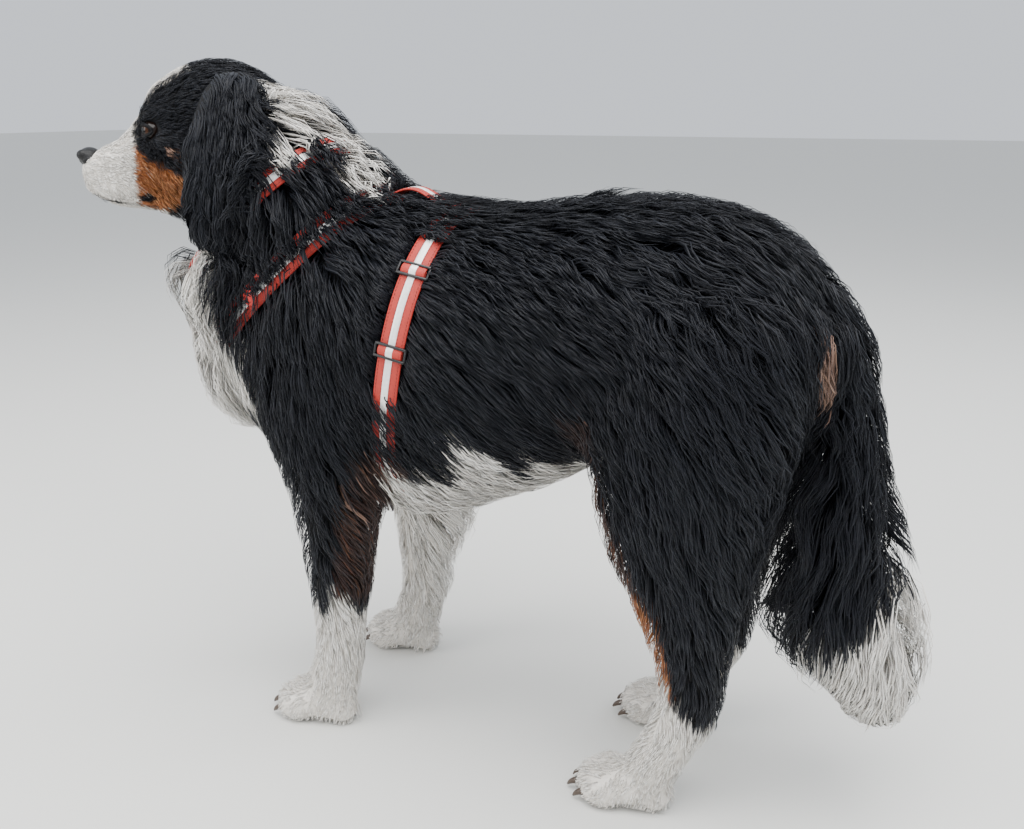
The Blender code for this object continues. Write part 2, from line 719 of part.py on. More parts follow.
def grown_locks(core, coat_at, straps, seed, tries, sunk=LOCK_SUNK):
    """Locks spread evenly over the core, each lying along the coat there and ending short of any strap."""
    random.seed(seed)
    mesh = core.data
    mesh.calc_loop_triangles()
    tree = surface_of(core)
    corners = [[mesh.vertices[v].co for v in t.vertices] for t in mesh.loop_triangles]
    areas = [t.area for t in mesh.loop_triangles]
    roots = []
    for a, b, c in random.choices(corners, weights=areas, k=tries):
        u, v = random.random(), random.random()
        if u + v > 1:
            u, v = 1 - u, 1 - v
        place = a + (b - a) * u + (c - a) * v
        normal = (b - a).cross(c - a).normalized()
        coat = coat_at(place, normal)
        if coat is None or any((place - other).length < (coat[0] + gap) / 2 for other, gap in roots):
            continue
        spacing, length, width, lift, lie = coat
        way = (lie - normal * lie.dot(normal)).normalized()
        way = Matrix.Rotation(random.uniform(-LOCK_STRAY, LOCK_STRAY), 3, normal) @ way
        clear = strap_distance(straps, place, way, length)
        if clear < LOCK_LEAST:
            continue
        roots.append((place, spacing))
        yield lock_mesh(tree, place, way, min(length * random.uniform(0.9, 1.08), clear),
                        width * random.uniform(0.88, 1.12), lift, random.uniform(-LOCK_BEND, LOCK_BEND),
                        sunk)


def strap_distance(straps, place, way, length, steps=8):
    """How far a lock can run before it would reach a strap."""
    for k in range(steps + 1):
        run = length * k / steps
        if any((place + way * run - p).length < STRAP_WIDTH / 2 + 0.002 for p in straps):
            return run - length / steps
    return length * 2


def box(low, high, turn=None, middle=None):
    """A cutter with square corners, turned about middle."""
    shape = bmesh.new()
    bmesh.ops.create_cube(shape, size=1)
    low, high = Vector(low), Vector(high)
    bmesh.ops.scale(shape, vec=high - low, verts=shape.verts)
    bmesh.ops.translate(shape, vec=(high + low) / 2, verts=shape.verts)
    if turn:
        bmesh.ops.transform(shape, matrix=turn, verts=shape.verts)
    if middle:
        bmesh.ops.translate(shape, vec=middle, verts=shape.verts)
    bmesh.ops.triangulate(shape, faces=shape.faces)
    mesh = bpy.data.meshes.new("box")
    shape.to_mesh(mesh)
    shape.free()
    return mesh


def neck_slab(start, end):
    """The space between two planes square to the neck, measured along it from the collar."""
    turn = Matrix.Rotation(-NECK_SLOPE, 4, "Y")
    return box((-0.5, -0.5, start), (0.5, 0.5, end), turn, COLLAR_MIDDLE)


# The space that each limb takes: x, sideways, z, half width, half depth
LIMB_SPACE = {
    "foreleg": [
        (-0.185, 0.105, -0.030, 0.100, 0.120, 0),
        (-0.150, 0.115, 0.200, 0.085, 0.115, 0),
        (-0.150, 0.130, 0.350, 0.070, 0.110, 0),
        (-0.165, 0.145, 0.430, 0.060, 0.085, 0),
    ],
    "hindleg": [
        (0.220, 0.105, -0.030, 0.095, 0.150, 0),
        (0.275, 0.115, 0.200, 0.085, 0.130, 0),
        (0.280, 0.130, 0.360, 0.085, 0.125, 0),
        (0.295, 0.145, 0.460, 0.075, 0.100, 0),
    ],
    "tail": [
        (0.480, 0.000, -0.030, 0.110, 0.140, 0),
        (0.455, 0.000, 0.200, 0.100, 0.125, 0),
        (0.460, 0.000, 0.380, 0.060, 0.085, 0),
        (0.455, 0.000, 0.500, 0.055, 0.060, 0),
        (0.425, 0.000, 0.560, 0.050, 0.040, 0),
    ],
}


def limb_space(kind, side, grow):
    rows = [(x, side * out, z, wide, deep, coat) for x, out, z, wide, deep, coat in LIMB_SPACE[kind]]
    return tube(rows, (0, 1, 0), 0, power=2.3, points=8, steps=1, grow=grow)


def parted(whole, name, space, space_grown, dog, helpers):
    """Takes the part of whole inside space away as an object of its own, with a gap between."""
    piece = copied(whole, name, dog)
    inner = link("space", space, helpers)
    outer = link("space_grown", space_grown, helpers)
    boolean(piece, inner, "INTERSECT")
    boolean(whole, outer, "DIFFERENCE")
    bpy.data.objects.remove(inner)
    bpy.data.objects.remove(outer)
    keep_largest(piece)
    return piece


def swollen(obj, distance, most=3.0):
    """The object's mesh with every face moved out by about the distance."""
    shape = bmesh.new()
    shape.from_mesh(obj.data)
    shape.normal_update()
    moves = [vert.normal * distance * min(most, vert.calc_shell_factor()) for vert in shape.verts]
    for vert, move in zip(shape.verts, moves):
        vert.co += move
    mesh = bpy.data.meshes.new("swollen")
    shape.to_mesh(mesh)
    shape.free()
    return mesh


def cut_away(obj, mesh, helpers):
    cutter = link("cutter", mesh, helpers)
    boolean(obj, cutter, "DIFFERENCE")
    bpy.data.objects.remove(cutter)


def thinned(obj, triangles):
    """Takes out the small triangles that a union leaves where its pieces cross."""
    fewer = obj.modifiers.new("fewer", "DECIMATE")
    fewer.ratio = min(1, triangles / triangle_count(obj.data))
    fewer.use_collapse_triangulate = True
    applied(obj)


def fuse(obj, meshes):
    """Joins closed pieces to the object with one union."""
    pieces = bpy.data.collections.new("pieces")
    bpy.context.scene.collection.children.link(pieces)
    pieces.hide_render = True
    for mesh in meshes:
        link("piece", mesh, pieces)
    boolean(obj, pieces, "UNION")
    for piece in list(pieces.objects):
        bpy.data.objects.remove(piece)
    bpy.data.collections.remove(pieces)


def harness_loops(core):
    """The closed loops of collar and harness, each as (path, outward directions, directions along it)."""
    tree = surface_of(core)
    slope = Matrix.Rotation(-NECK_SLOPE, 3, "Y")
    up_neck = slope @ Vector((0, 0, 1))
    rear_up = slope @ Vector((1, 0, 0))
    return {
        "collar": loop_path(tree, COLLAR_MIDDLE, up_neck, rear_up),
        "harness_neck_loop": loop_path(tree, NECK_LOOP_MIDDLE, up_neck, rear_up),
        "harness_girth": loop_path(tree, GIRTH_MIDDLE, GIRTH_NORMAL, GIRTH_START),
        "harness_back_strap": straight_strap(tree, *BACK_STRAP_ANGLES, STRAP_HUB, BACK_STRAP_POINTS),
        "harness_chest_strap": straight_strap(tree, *CHEST_STRAP_ANGLES, STRAP_HUB, CHEST_STRAP_POINTS),
    }


def straight_strap(tree, start, end, depth, count):
    """Points on the coat of the median plane between two angles round a place inside the trunk."""
    path = []
    for k in range(count):
        angle = start + (end - start) * k / (count - 1)
        way = Vector((math.cos(angle), 0, math.sin(angle)))
        path.append(tree.ray_cast(depth + way, -way)[0])
    for _ in range(2):
        path = [path[0]] + [(path[k - 1] + 2 * path[k] + path[k + 1]) / 4
                            for k in range(1, count - 1)] + [path[-1]]
    last = count - 1
    along = [(path[min(k + 1, last)] - path[max(k - 1, 0)]).normalized() for k in range(count)]
    out = [t.cross(Vector((0, 1, 0))).normalized() for t in along]
    out = [n if n.dot(p - depth) > 0 else -n for n, p in zip(out, path)]
    return path, out, along


def on_strap(loop, angle):
    """The place on a loop nearest to an angle from straight up, towards the dog's left, and its directions."""
    path, out, along = loop
    middle = sum(path, Vector()) / len(path)
    aim = Vector((0, -math.sin(angle), math.cos(angle)))
    k = max(range(len(path)), key=lambda i: (path[i] - middle).normalized().dot(aim))
    return path[k], out[k], along[k]


def slider_mesh(place, out, along, grow=0.0):
    """The frame of a slider before the strap's slot is cut through it."""
    across = along.cross(out)
    shape = Matrix((across, along, out)).transposed().to_4x4()
    half = [SLIDER_WIDTH / 2 + grow, SLIDER_HEIGHT / 2 + grow, SLIDER_DEPTH / 2 + grow]
    lift = out * (STRAP_THICKNESS / 2 - STRAP_SUNK)
    return box([-h for h in half], half, shape, place + lift)


def rivet_mesh(place, out):
    """The round cap on the front of the neck loop."""
    shape = bmesh.new()
    bmesh.ops.create_cone(shape, cap_ends=True, segments=14, radius1=RIVET_RADIUS,
                          radius2=RIVET_RADIUS * 0.8, depth=RIVET_HEIGHT)
    bmesh.ops.triangulate(shape, faces=shape.faces)
    turn = Vector((0, 0, 1)).rotation_difference(out).to_matrix().to_4x4()
    bmesh.ops.transform(shape, matrix=turn, verts=shape.verts)
    lift = STRAP_THICKNESS - STRAP_SUNK + GAP + RIVET_HEIGHT / 2
    bmesh.ops.translate(shape, vec=place + out * lift, verts=shape.verts)
    mesh = bpy.data.meshes.new("rivet")
    shape.to_mesh(mesh)
    shape.free()
    return mesh


def make_harness(loops, body, dog, helpers):
    """Collar and straps lie in channels pressed into the coat, with two sliders on the girth."""
    for name, (path, out, along) in loops.items():
        width = COLLAR_WIDTH if name == "collar" else STRAP_WIDTH
        loop = name in ("collar", "harness_neck_loop", "harness_girth")
        shapes = [band_mesh(path, out, along, width, STRAP_THICKNESS, STRAP_SUNK, loop, grow)
                  for grow in (0.0, GAP)]
        link(name, shapes[0], dog)
        link(name + "_space", shapes[1], helpers)
        cut_away(body, shapes[1].copy(), helpers)
    for name in ("harness_back_strap", "harness_chest_strap"):
        for other in ("harness_neck_loop", "harness_girth"):
            boolean(dog.objects[name], helpers.objects[other + "_space"], "DIFFERENCE")
    girth = loops["harness_girth"]
    for name, angle in SLIDERS.items():
        place = on_strap(girth, angle)
        slider = link(name, slider_mesh(*place), dog)
        boolean(slider, helpers.objects["harness_girth_space"], "DIFFERENCE")
        cut_away(body, slider_mesh(*place, GAP), helpers)
    place, out, _ = on_strap(loops["harness_neck_loop"], RIVET_ANGLE)
    link("harness_rivet_left", rivet_mesh(place, out), dog)


def main():
    clear_scene()
    dog = collection_named("bernese_mountain_dog")
    helpers = collection_named("helpers", shown=False)
    body = blended("body", body_pieces(CORE_SHARE), VOXEL_BODY, 0.014, 3, BODY_TRIANGLES, helpers)
    head = blended("head", head_pieces(CORE_SHARE), VOXEL_HEAD, 0.010, 3, HEAD_TRIANGLES, dog)

    loops = harness_loops(body)
    straps = [a.lerp(b, share) for path, _, _ in loops.values() for a, b in zip(path, path[1:] + path[:1])
              for share in (0.0, 0.5) if (b - a).length < 0.1]
    body_locks = list(grown_locks(body, body_coat, straps, 4, LOCK_TRIES))
    head_locks = list(grown_locks(head, head_coat, straps, 11, HEAD_LOCK_TRIES))
    fuse(body, body_locks)
    fuse(head, head_locks)
    thinned(body, BODY_TRIANGLES + TRIANGLES_A_LOCK * len(body_locks))
    thinned(head, HEAD_TRIANGLES + TRIANGLES_A_LOCK * len(head_locks))
    cut_away(body, box((-1, -1, -1), (1, 1, 0)), helpers)
    make_harness(loops, body, dog, helpers)
    cut_away(body, neck_slab(HEAD_SEAM, 1), helpers)
    cut_away(head, neck_slab(-1, HEAD_SEAM + GAP), helpers)
    parted(body, "neck", neck_slab(NECK_SEAM + GAP, 1), neck_slab(NECK_SEAM, 1), dog, helpers)
    for name in FEET:
        kind, side = name.split("_")
        leg = parted(body, name, limb_space(kind, SIDES[side], 0), limb_space(kind, SIDES[side], GAP),
                     dog, helpers)
        for toe in range(len(TOES)):
            link(f"claw_{name}_{toe + 1}", claw_mesh(name, toe), dog)
            cut_away(leg, claw_mesh(name, toe, GAP), helpers)
    parted(body, "tail", limb_space("tail", 1, 0), limb_space("tail", 1, GAP), dog, helpers)
    keep_largest(body)
    body.name = "torso"
    helpers.objects.unlink(body)
    dog.objects.link(body)

    tree = surface_of(head)
    grooves = []
    for side in SIDES.values():
        fuse(head, [lid(side, True), lid(side, False)])
        points, normals = along_mouth(tree, side, 0.0035)
        fuse(head, [bead(points, normals, [0.0022] * len(points))])
        points, normals = along_mouth(tree, side, 0)
        grooves.append(bead(points, normals, [0.0013] * len(points)))
    for groove in grooves:
        cut_away(head, groove, helpers)
    for name, side in SIDES.items():
        link("eye_" + name, eye_mesh(side), dog)
        cut_away(head, eye_mesh(side, GAP), helpers)
        ear = link("ear_" + name, ear_mesh(side), dog)
        locks = list(grown_locks(ear, ear_coat, [], 13, EAR_LOCK_TRIES, EAR_LOCK_SUNK))
        fuse(ear, locks)
        thinned(ear, EAR_TRIANGLES + TRIANGLES_A_LOCK * len(locks))
        cut_away(ear, ear_cup(side), helpers)
        boolean(ear, helpers.objects["collar_space"], "DIFFERENCE")
        for other in ("head", "neck", "torso"):
            cut_away(bpy.data.objects[other], swollen(ear, GAP), helpers)
    parts = nose_mesh()
    nose = link("nose", parts[0], dog)
    fuse(nose, parts[1:])
    for grown in nose_mesh(GAP):
        cut_away(head, grown, helpers)
    for side in SIDES.values():
        for hollow in nostril(side):
            cut_away(nose, hollow, helpers)
    for obj in dog.objects:
        keep_largest(obj)
        obj.data.transform(Matrix.Translation(-CENTRE))
        finish(obj)


main()
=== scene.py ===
"""Visual model of a Bernese mountain dog in its collar and harness, built round its CAD frame.

Metres, +Z up. The dog faces -X and its left side is towards -Y. The skin has the sizes of the
solids less the depth of the coat, and the coat grows on it in small tufts of hair. Everything is
made with the dog's own middle line at y = 0 and moved to the frame's centre when it is finished.
"""

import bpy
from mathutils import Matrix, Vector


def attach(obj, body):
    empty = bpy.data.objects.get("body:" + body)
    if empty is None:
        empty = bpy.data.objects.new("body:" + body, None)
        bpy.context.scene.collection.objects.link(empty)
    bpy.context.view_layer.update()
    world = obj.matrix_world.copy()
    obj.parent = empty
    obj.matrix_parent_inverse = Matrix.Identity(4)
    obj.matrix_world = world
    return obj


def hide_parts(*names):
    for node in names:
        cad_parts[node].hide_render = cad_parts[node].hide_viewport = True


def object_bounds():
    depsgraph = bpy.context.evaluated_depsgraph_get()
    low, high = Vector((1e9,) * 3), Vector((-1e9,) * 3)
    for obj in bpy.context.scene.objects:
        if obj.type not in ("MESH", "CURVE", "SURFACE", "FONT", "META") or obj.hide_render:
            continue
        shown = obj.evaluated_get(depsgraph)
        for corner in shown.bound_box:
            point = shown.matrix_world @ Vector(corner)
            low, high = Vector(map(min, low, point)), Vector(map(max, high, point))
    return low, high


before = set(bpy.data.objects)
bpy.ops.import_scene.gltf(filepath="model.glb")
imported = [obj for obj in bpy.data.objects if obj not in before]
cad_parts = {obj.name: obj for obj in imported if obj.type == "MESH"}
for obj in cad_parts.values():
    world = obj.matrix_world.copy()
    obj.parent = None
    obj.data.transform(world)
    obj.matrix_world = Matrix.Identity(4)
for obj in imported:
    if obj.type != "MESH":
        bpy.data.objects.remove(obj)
CAD_BOX = [list(corner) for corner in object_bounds()]

import math

import bmesh
import bpy
import numpy as np
from mathutils import Matrix, Vector
from mathutils.bvhtree import BVHTree
from mathutils.kdtree import KDTree

# Where the middle of the whole dog lies in the frame that its sizes are given in
CENTRE = Vector((0.020, 0.000, 0.0))

SKIN_SHARE = 0.85  # how much of the coat's depth the skin lies under the envelope
CORE_SHARE = 0.5  # the same for the solids' core, on which the straps lie
# How masses grow together: grain of the mesh, radius of the hollows between them, rounds of smoothing
BODY_BLEND = (0.0055, 0.014, 3)
HEAD_BLEND = (0.0026, 0.010, 5)
ENVELOPE_BLEND = (0.006, 0.010, 2)
SKIN_BODY_TRIANGLES, SKIN_HEAD_TRIANGLES, CORE_TRIANGLES = 62000, 80000, 2700

# Head: its middle, the turn to the left and the plane of its profile
HEAD_MIDDLE = Vector((-0.377, -0.042, 0.0))
HEAD_TURN = math.radians(38)
HEAD_AHEAD = Vector((-math.cos(HEAD_TURN), -math.sin(HEAD_TURN), 0))
HEAD_ACROSS = Vector((-math.sin(HEAD_TURN), math.cos(HEAD_TURN), 0))

# Collar and harness
COLLAR_WIDTH = 0.025
STRAP_WIDTH = 0.030
STRAP_THICKNESS = 0.0030
STRIPE_WIDTH, STRIPE_THICKNESS = 0.0085, 0.0006
TURN_THICKNESS = 0.0024  # of the webbing where it turns over a slider's bars
SEWN_IN = 0.97  # share of the webbing's thickness at which the stripe is sewn on
STITCH = (0.0042, 0.0030, 0.00042)  # spacing, length and radius of the thread
NECK_SLOPE = math.radians(42.5)  # of the neck's line, from upright
COLLAR_MIDDLE = Vector((-0.262, -0.003, 0.661))
NECK_LOOP_MIDDLE = Vector((-0.190, 0.0, 0.612))
GIRTH_MIDDLE = Vector((-0.0465, 0.0, 0.490))
GIRTH_NORMAL = (1.0, 0.0, -0.18)
GIRTH_START = (0.0, -0.096, 0.995)  # so that points of the loop fall on both sliders
STRAP_HUB = Vector((-0.150, 0.0, 0.490))
BACK_STRAP_ANGLES = (math.radians(79), math.radians(56.5))
BACK_STRAP_POINTS, CHEST_STRAP_POINTS = 5, 12
CHEST_STRAP_ANGLES = (math.radians(196), math.radians(291))
SLIDERS = {"harness_slider_upper": math.radians(42), "harness_slider_lower": math.radians(77.5)}
RIVET_ANGLE = math.radians(125)
STRAP_SUNK = 0.0012  # how far a strap presses into the solids' core
BACK_STRAP_LIFT = 0.013
SEAM_INSET, STRIPE_SEAM = 0.0028, 0.0054  # stitches from the strap's edge, and from its middle
# The share of the coat over a strap that hides it, above each height
COVER = {
    "collar": [(0.722, 0.98), (0.650, 0.55), (0.0, 0.98)],
    "harness_neck_loop": [(0.660, 0.99), (0.628, 0.70), (0.545, 0.18), (0.0, 0.99)],
    "harness_girth": [(0.631, 0.90), (0.470, 0.0), (0.370, 0.45), (0.0, 0.85)],
    "harness_chest_strap": [(0.0, 0.95)],
}
# The width of a strap that shows and how far it lies below the middle, where that isn't the whole
SHOWN = {"collar": (0.006, 0.008), "harness_neck_loop": (0.009, 0.009)}
HEAD_SEAM = 0.020  # from the collar's middle, along the neck
NECK_SEAM = -0.042

EYE_RADIUS = 0.0112
EYE_PLACE = (0.0410, 0.0380, 0.7470)  # ahead of the head's middle, sideways, height
EYE_SPLAY = math.radians(34)  # turned out from straight ahead
EYE_CLEAR = 0.0022  # bare rim round the eyeball, under the roots of the coat
LID_POINTS = 17
LID_REACH = math.radians(62)  # to the eye's corners, from where it looks
UPPER_LID, LOWER_LID = math.radians(35), math.radians(29)  # how far each is open
EYE_GUARD = 0.0020  # that no tuft comes nearer to the eyeball
ON_EAR = 0.0006  # what lies nearer than this to an ear's surface belongs to the ear
NOSTRIL_SPLAY = math.radians(28)

# The camera, fitted to where the four paws stand in the photograph
CAMERA_PLACE = Vector((0.506, -1.050, 0.776))
CAMERA_TILT = math.radians(90 - 17.197)  # from straight down
CAMERA_TURN = math.radians(24)
FOCAL_LENGTH, PICTURE_WIDTH = 1000, 1024  # in the picture's pixels
SENSOR_WIDTH = 36

SIDES = {"left": -1, "right": 1}
FLESH = ("head", "neck", "torso", "tail", "foreleg_left", "foreleg_right", "hindleg_left",
         "hindleg_right", "ear_left", "ear_right")


def link(name, mesh):
    obj = bpy.data.objects.new(name, mesh)
    bpy.context.scene.collection.objects.link(obj)
    return obj


def head_point(forward, side, height):
    """A place on the head: ahead of its middle, to the dog's right of its profile plane, and height."""
    return HEAD_MIDDLE + HEAD_AHEAD * forward + HEAD_ACROSS * side + Vector((0, 0, height))


def smooth_rows(rows, steps):
    """Rows of numbers read from a smooth curve through the given ones."""
    rows = np.array(rows, float)
    before = np.vstack([2 * rows[0] - rows[1], rows, 2 * rows[-1] - rows[-2]])
    out = []
    for i in range(len(rows) - 1):
        a, b, c, d = before[i : i + 4]
        for t in np.arange(steps) / steps:
            out.append(
                0.5 * (2 * b + (c - a) * t + (2 * a - 5 * b + 4 * c - d) * t**2
                       + (3 * b - a - 3 * c + d) * t**3)
            )
    out.append(rows[-1])
    return np.array(out)


def ring_mesh(name, rings, loop=False):
    """A closed skin over rings of equal point count, with its faces outwards."""
    count = len(rings[0])
    points = [tuple(p) for ring in rings for p in ring]
    faces = []
    for i in range(len(rings) if loop else len(rings) - 1):
        j = (i + 1) % len(rings)
        for k in range(count):
            n = (k + 1) % count
            faces.append((i * count + k, i * count + n, j * count + n, j * count + k))
    if not loop:
        faces.append(tuple(range(count))[::-1])
        faces.append(tuple(range((len(rings) - 1) * count, len(rings) * count)))
    mesh = bpy.data.meshes.new(name)
    mesh.from_pydata(points, [], faces)
    shape = bmesh.new()
    shape.from_mesh(mesh)
    bmesh.ops.recalc_face_normals(shape, faces=shape.faces)
    if shape.calc_volume(signed=True) < 0:
        bmesh.ops.reverse_faces(shape, faces=shape.faces)
    shape.to_mesh(mesh)
    shape.free()
    return mesh


def tube(stations, side, share, power=2.0, points=28, steps=6, grow=0.0):
    """A limb or trunk through stations (x, y, z, half width, half height, coat depth) with domed ends."""
    rows = smooth_rows(stations, steps)
    side = Vector(side).normalized()
    rings = []
    turns = np.arange(points) * 2 * math.pi / points
    profile = [
        (math.copysign(abs(math.cos(a)) ** (2 / power), math.cos(a)),
         math.copysign(abs(math.sin(a)) ** (2 / power), math.sin(a)))
        for a in turns
    ]

    def ring(middle, along, wide, high):
        up = along.cross(side).normalized()
        across = up.cross(along).normalized()
        return [middle + across * (wide * c) + up * (high * s) for c, s in profile]

    ways = [Vector(rows[min(i + 1, len(rows) - 1)][:3] - rows[max(i - 1, 0)][:3]).normalized()
            for i in range(len(rows))]
    sizes = [(max(r[3] - share * r[5], 0.004) + grow, max(r[4] - share * r[5], 0.004) + grow)
             for r in rows]
    domes = [(0.86, 0.50), (0.45, 0.89)]
    for reach, out in reversed(domes):
        depth = 0.8 * min(sizes[0])
        rings.append(ring(Vector(rows[0][:3]) - ways[0] * depth * out, ways[0],
                          sizes[0][0] * reach, sizes[0][1] * reach))
    for row, way, size in zip(rows, ways, sizes):
        rings.append(ring(Vector(row[:3]), way, *size))
    for reach, out in domes:
        depth = 0.8 * min(sizes[-1])
        rings.append(ring(Vector(rows[-1][:3]) + ways[-1] * depth * out, ways[-1],
                          sizes[-1][0] * reach, sizes[-1][1] * reach))
    return ring_mesh("tube", rings)


def ball(middle, radii, share=0.0, coat=0.0, turn=None, grow=0.0, rings=14, segments=24):
    """An egg-shaped mass."""
    shape = bmesh.new()
    bmesh.ops.create_uvsphere(shape, u_segments=segments, v_segments=rings, radius=1)
    size = Matrix.Diagonal([max(r - share * coat, 0.003) + grow for r in radii] + [1])
    bmesh.ops.transform(shape, matrix=(turn or Matrix.Identity(4)) @ size, verts=shape.verts)
    bmesh.ops.translate(shape, vec=middle, verts=shape.verts)
    mesh = bpy.data.meshes.new("ball")
    shape.to_mesh(mesh)
    shape.free()
    return mesh


def joined(meshes):
    shape = bmesh.new()
    for mesh in meshes:
        shape.from_mesh(mesh)
        bpy.data.meshes.remove(mesh)
    result = bpy.data.meshes.new("joined")
    shape.to_mesh(result)
    shape.free()
    return result


def applied(obj):
    """Takes the object's modifiers into its mesh."""
    graph = bpy.context.evaluated_depsgraph_get()
    mesh = bpy.data.meshes.new_from_object(obj.evaluated_get(graph))
    obj.modifiers.clear()
    obj.data = mesh


def thinned(obj, triangles):
    obj.data.calc_loop_triangles()
    fewer = obj.modifiers.new("fewer", "DECIMATE")
    fewer.ratio = min(1, triangles / len(obj.data.loop_triangles))
    fewer.use_collapse_triangulate = True
    applied(obj)


def blended(name, meshes, voxel, fillet, rounds, triangles=None):
    """The pieces as one smooth body: grown by the fillet's radius and shrunk again."""
    obj = link(name, joined(meshes))
    for offset in (fillet, -fillet):
        remesh = obj.modifiers.new("one_body", "REMESH")
        remesh.mode = "VOXEL"
        remesh.voxel_size = voxel
        relax = obj.modifiers.new("relax", "SMOOTH")
        relax.factor = 0.5
        relax.iterations = rounds
        swell = obj.modifiers.new("swell", "DISPLACE")
        swell.mid_level = 0
        swell.strength = offset
    relax = obj.modifiers.new("relax", "SMOOTH")
    relax.factor = 0.5
    relax.iterations = rounds
    applied(obj)
    if triangles:
        thinned(obj, triangles)
    return obj


def boolean(obj, meshes, operation):
    """Joins closed meshes to the object, or cuts them from it."""
    for mesh in meshes:
        other = link("other", mesh)
        cut = obj.modifiers.new("cut", "BOOLEAN")
        cut.operation = operation
        cut.solver = "MANIFOLD"
        cut.object = other
        applied(obj)
        bpy.data.objects.remove(other)


# The trunk: height of its upper and lower outline, half width and coat depth along the spine
TRUNK = [
    (-0.325, 0.600, 0.410, 0.092, 0.040),
    (-0.270, 0.655, 0.352, 0.130, 0.040),
    (-0.200, 0.678, 0.315, 0.149, 0.038),
    (-0.120, 0.686, 0.296, 0.157, 0.035),
    (-0.050, 0.686, 0.292, 0.159, 0.032),
    (0.040, 0.684, 0.325, 0.158, 0.032),
    (0.120, 0.686, 0.370, 0.152, 0.032),
    (0.200, 0.694, 0.392, 0.152, 0.035),
    (0.270, 0.687, 0.408, 0.154, 0.038),
    (0.330, 0.655, 0.430, 0.142, 0.040),
    (0.370, 0.610, 0.455, 0.110, 0.040),
]
NECK = [
    (-0.130, 0.000, 0.560, 0.125, 0.128, 0.045),
    (-0.196, 0.000, 0.602, 0.130, 0.132, 0.055),
    (-0.250, -0.003, 0.660, 0.126, 0.124, 0.058),
    (-0.290, -0.003, 0.716, 0.108, 0.112, 0.047),
]
TAIL = [
    (0.345, 0.000, 0.598, 0.055, 0.050, 0.030),
    (0.392, 0.000, 0.556, 0.050, 0.045, 0.030),
    (0.414, 0.000, 0.480, 0.044, 0.040, 0.026),
    (0.422, 0.000, 0.400, 0.048, 0.046, 0.032),
    (0.428, 0.000, 0.320, 0.054, 0.062, 0.042),
    (0.448, 0.000, 0.245, 0.058, 0.078, 0.052),
    (0.474, 0.000, 0.185, 0.054, 0.068, 0.050),
    (0.482, 0.000, 0.138, 0.036, 0.042, 0.034),
]
# Each leg from the body down to the pastern: x, sideways, z, half width, half depth, coat depth
FORELEG = [
    (-0.185, 0.070, 0.540, 0.070, 0.100, 0.035),
    (-0.170, 0.100, 0.450, 0.060, 0.095, 0.030),
    (-0.158, 0.108, 0.380, 0.052, 0.080, 0.028),
    (-0.157, 0.105, 0.320, 0.046, 0.066, 0.024),
    (-0.160, 0.102, 0.250, 0.040, 0.052, 0.018),
    (-0.164, 0.100, 0.160, 0.034, 0.036, 0.010),
    (-0.170, 0.100, 0.100, 0.034, 0.034, 0.008),
    (-0.184, 0.100, 0.055, 0.037, 0.038, 0.007),
]
HINDLEG = [
    (0.285, 0.075, 0.560, 0.085, 0.120, 0.040),
    (0.275, 0.095, 0.470, 0.075, 0.118, 0.040),
    (0.270, 0.100, 0.390, 0.064, 0.105, 0.036),
    (0.272, 0.100, 0.330, 0.055, 0.088, 0.032),
    (0.279, 0.098, 0.260, 0.044, 0.064, 0.024),
    (0.284, 0.096, 0.200, 0.037, 0.046, 0.016),
    (0.282, 0.095, 0.145, 0.033, 0.038, 0.010),
    (0.262, 0.095, 0.100, 0.031, 0.033, 0.008),
    (0.238, 0.095, 0.055, 0.034, 0.034, 0.007),
]
# Where each foot stands
FEET = {
    "foreleg_left": (-0.194, -0.093),
    "foreleg_right": (-0.182, 0.112),
    "hindleg_left": (0.230, -0.095),
    "hindleg_right": (0.228, 0.080),
}
PAW_WIDTH = {"foreleg": 0.041, "hindleg": 0.037}  # half of it, over the toes
# Each toe: sideways as a share of the paw's half width, and ahead of the foot's middle
TOES = [(-0.72, -0.026), (-0.27, -0.039), (0.27, -0.039), (0.72, -0.026)]


def leg_rows(name):
    kind, side = name.split("_")
    table = FORELEG if kind == "foreleg" else HINDLEG
    foot_x, foot_y = FEET[name]
    behind = 0.018 if kind == "foreleg" else 0.026
    shift_x = foot_x + behind - table[-1][0]
    shift_y = foot_y - SIDES[side] * table[-1][1]
    top, low = table[0][2], table[-1][2]
    rows = []
    for x, out, z, wide, deep, coat in table:
        share = (top - z) / (top - low)
        rows.append((x + shift_x * share**2, SIDES[side] * out + shift_y * share, z, wide, deep, coat))
    return rows


def paw(name, share):
    """Four toes side by side and the pad behind them."""
    foot_x, foot_y = FEET[name]
    wide = PAW_WIDTH[name.split("_")[0]]
    pieces = []
    for across, ahead in TOES:
        pieces.append(ball(
            Vector((foot_x + ahead, foot_y + across * wide, 0.0205)),
            (0.028, 0.0148, 0.0230), share, 0.004,
            Matrix.Rotation(-0.10 * across, 4, "Z"),
        ))
    pieces.append(ball(Vector((foot_x + 0.002, foot_y, 0.026)), (0.044, wide * 0.90, 0.031), share, 0.006))
    pieces.append(ball(Vector((foot_x + 0.032, foot_y, 0.018)), (0.024, wide * 0.70, 0.024), share, 0.006))
    return pieces


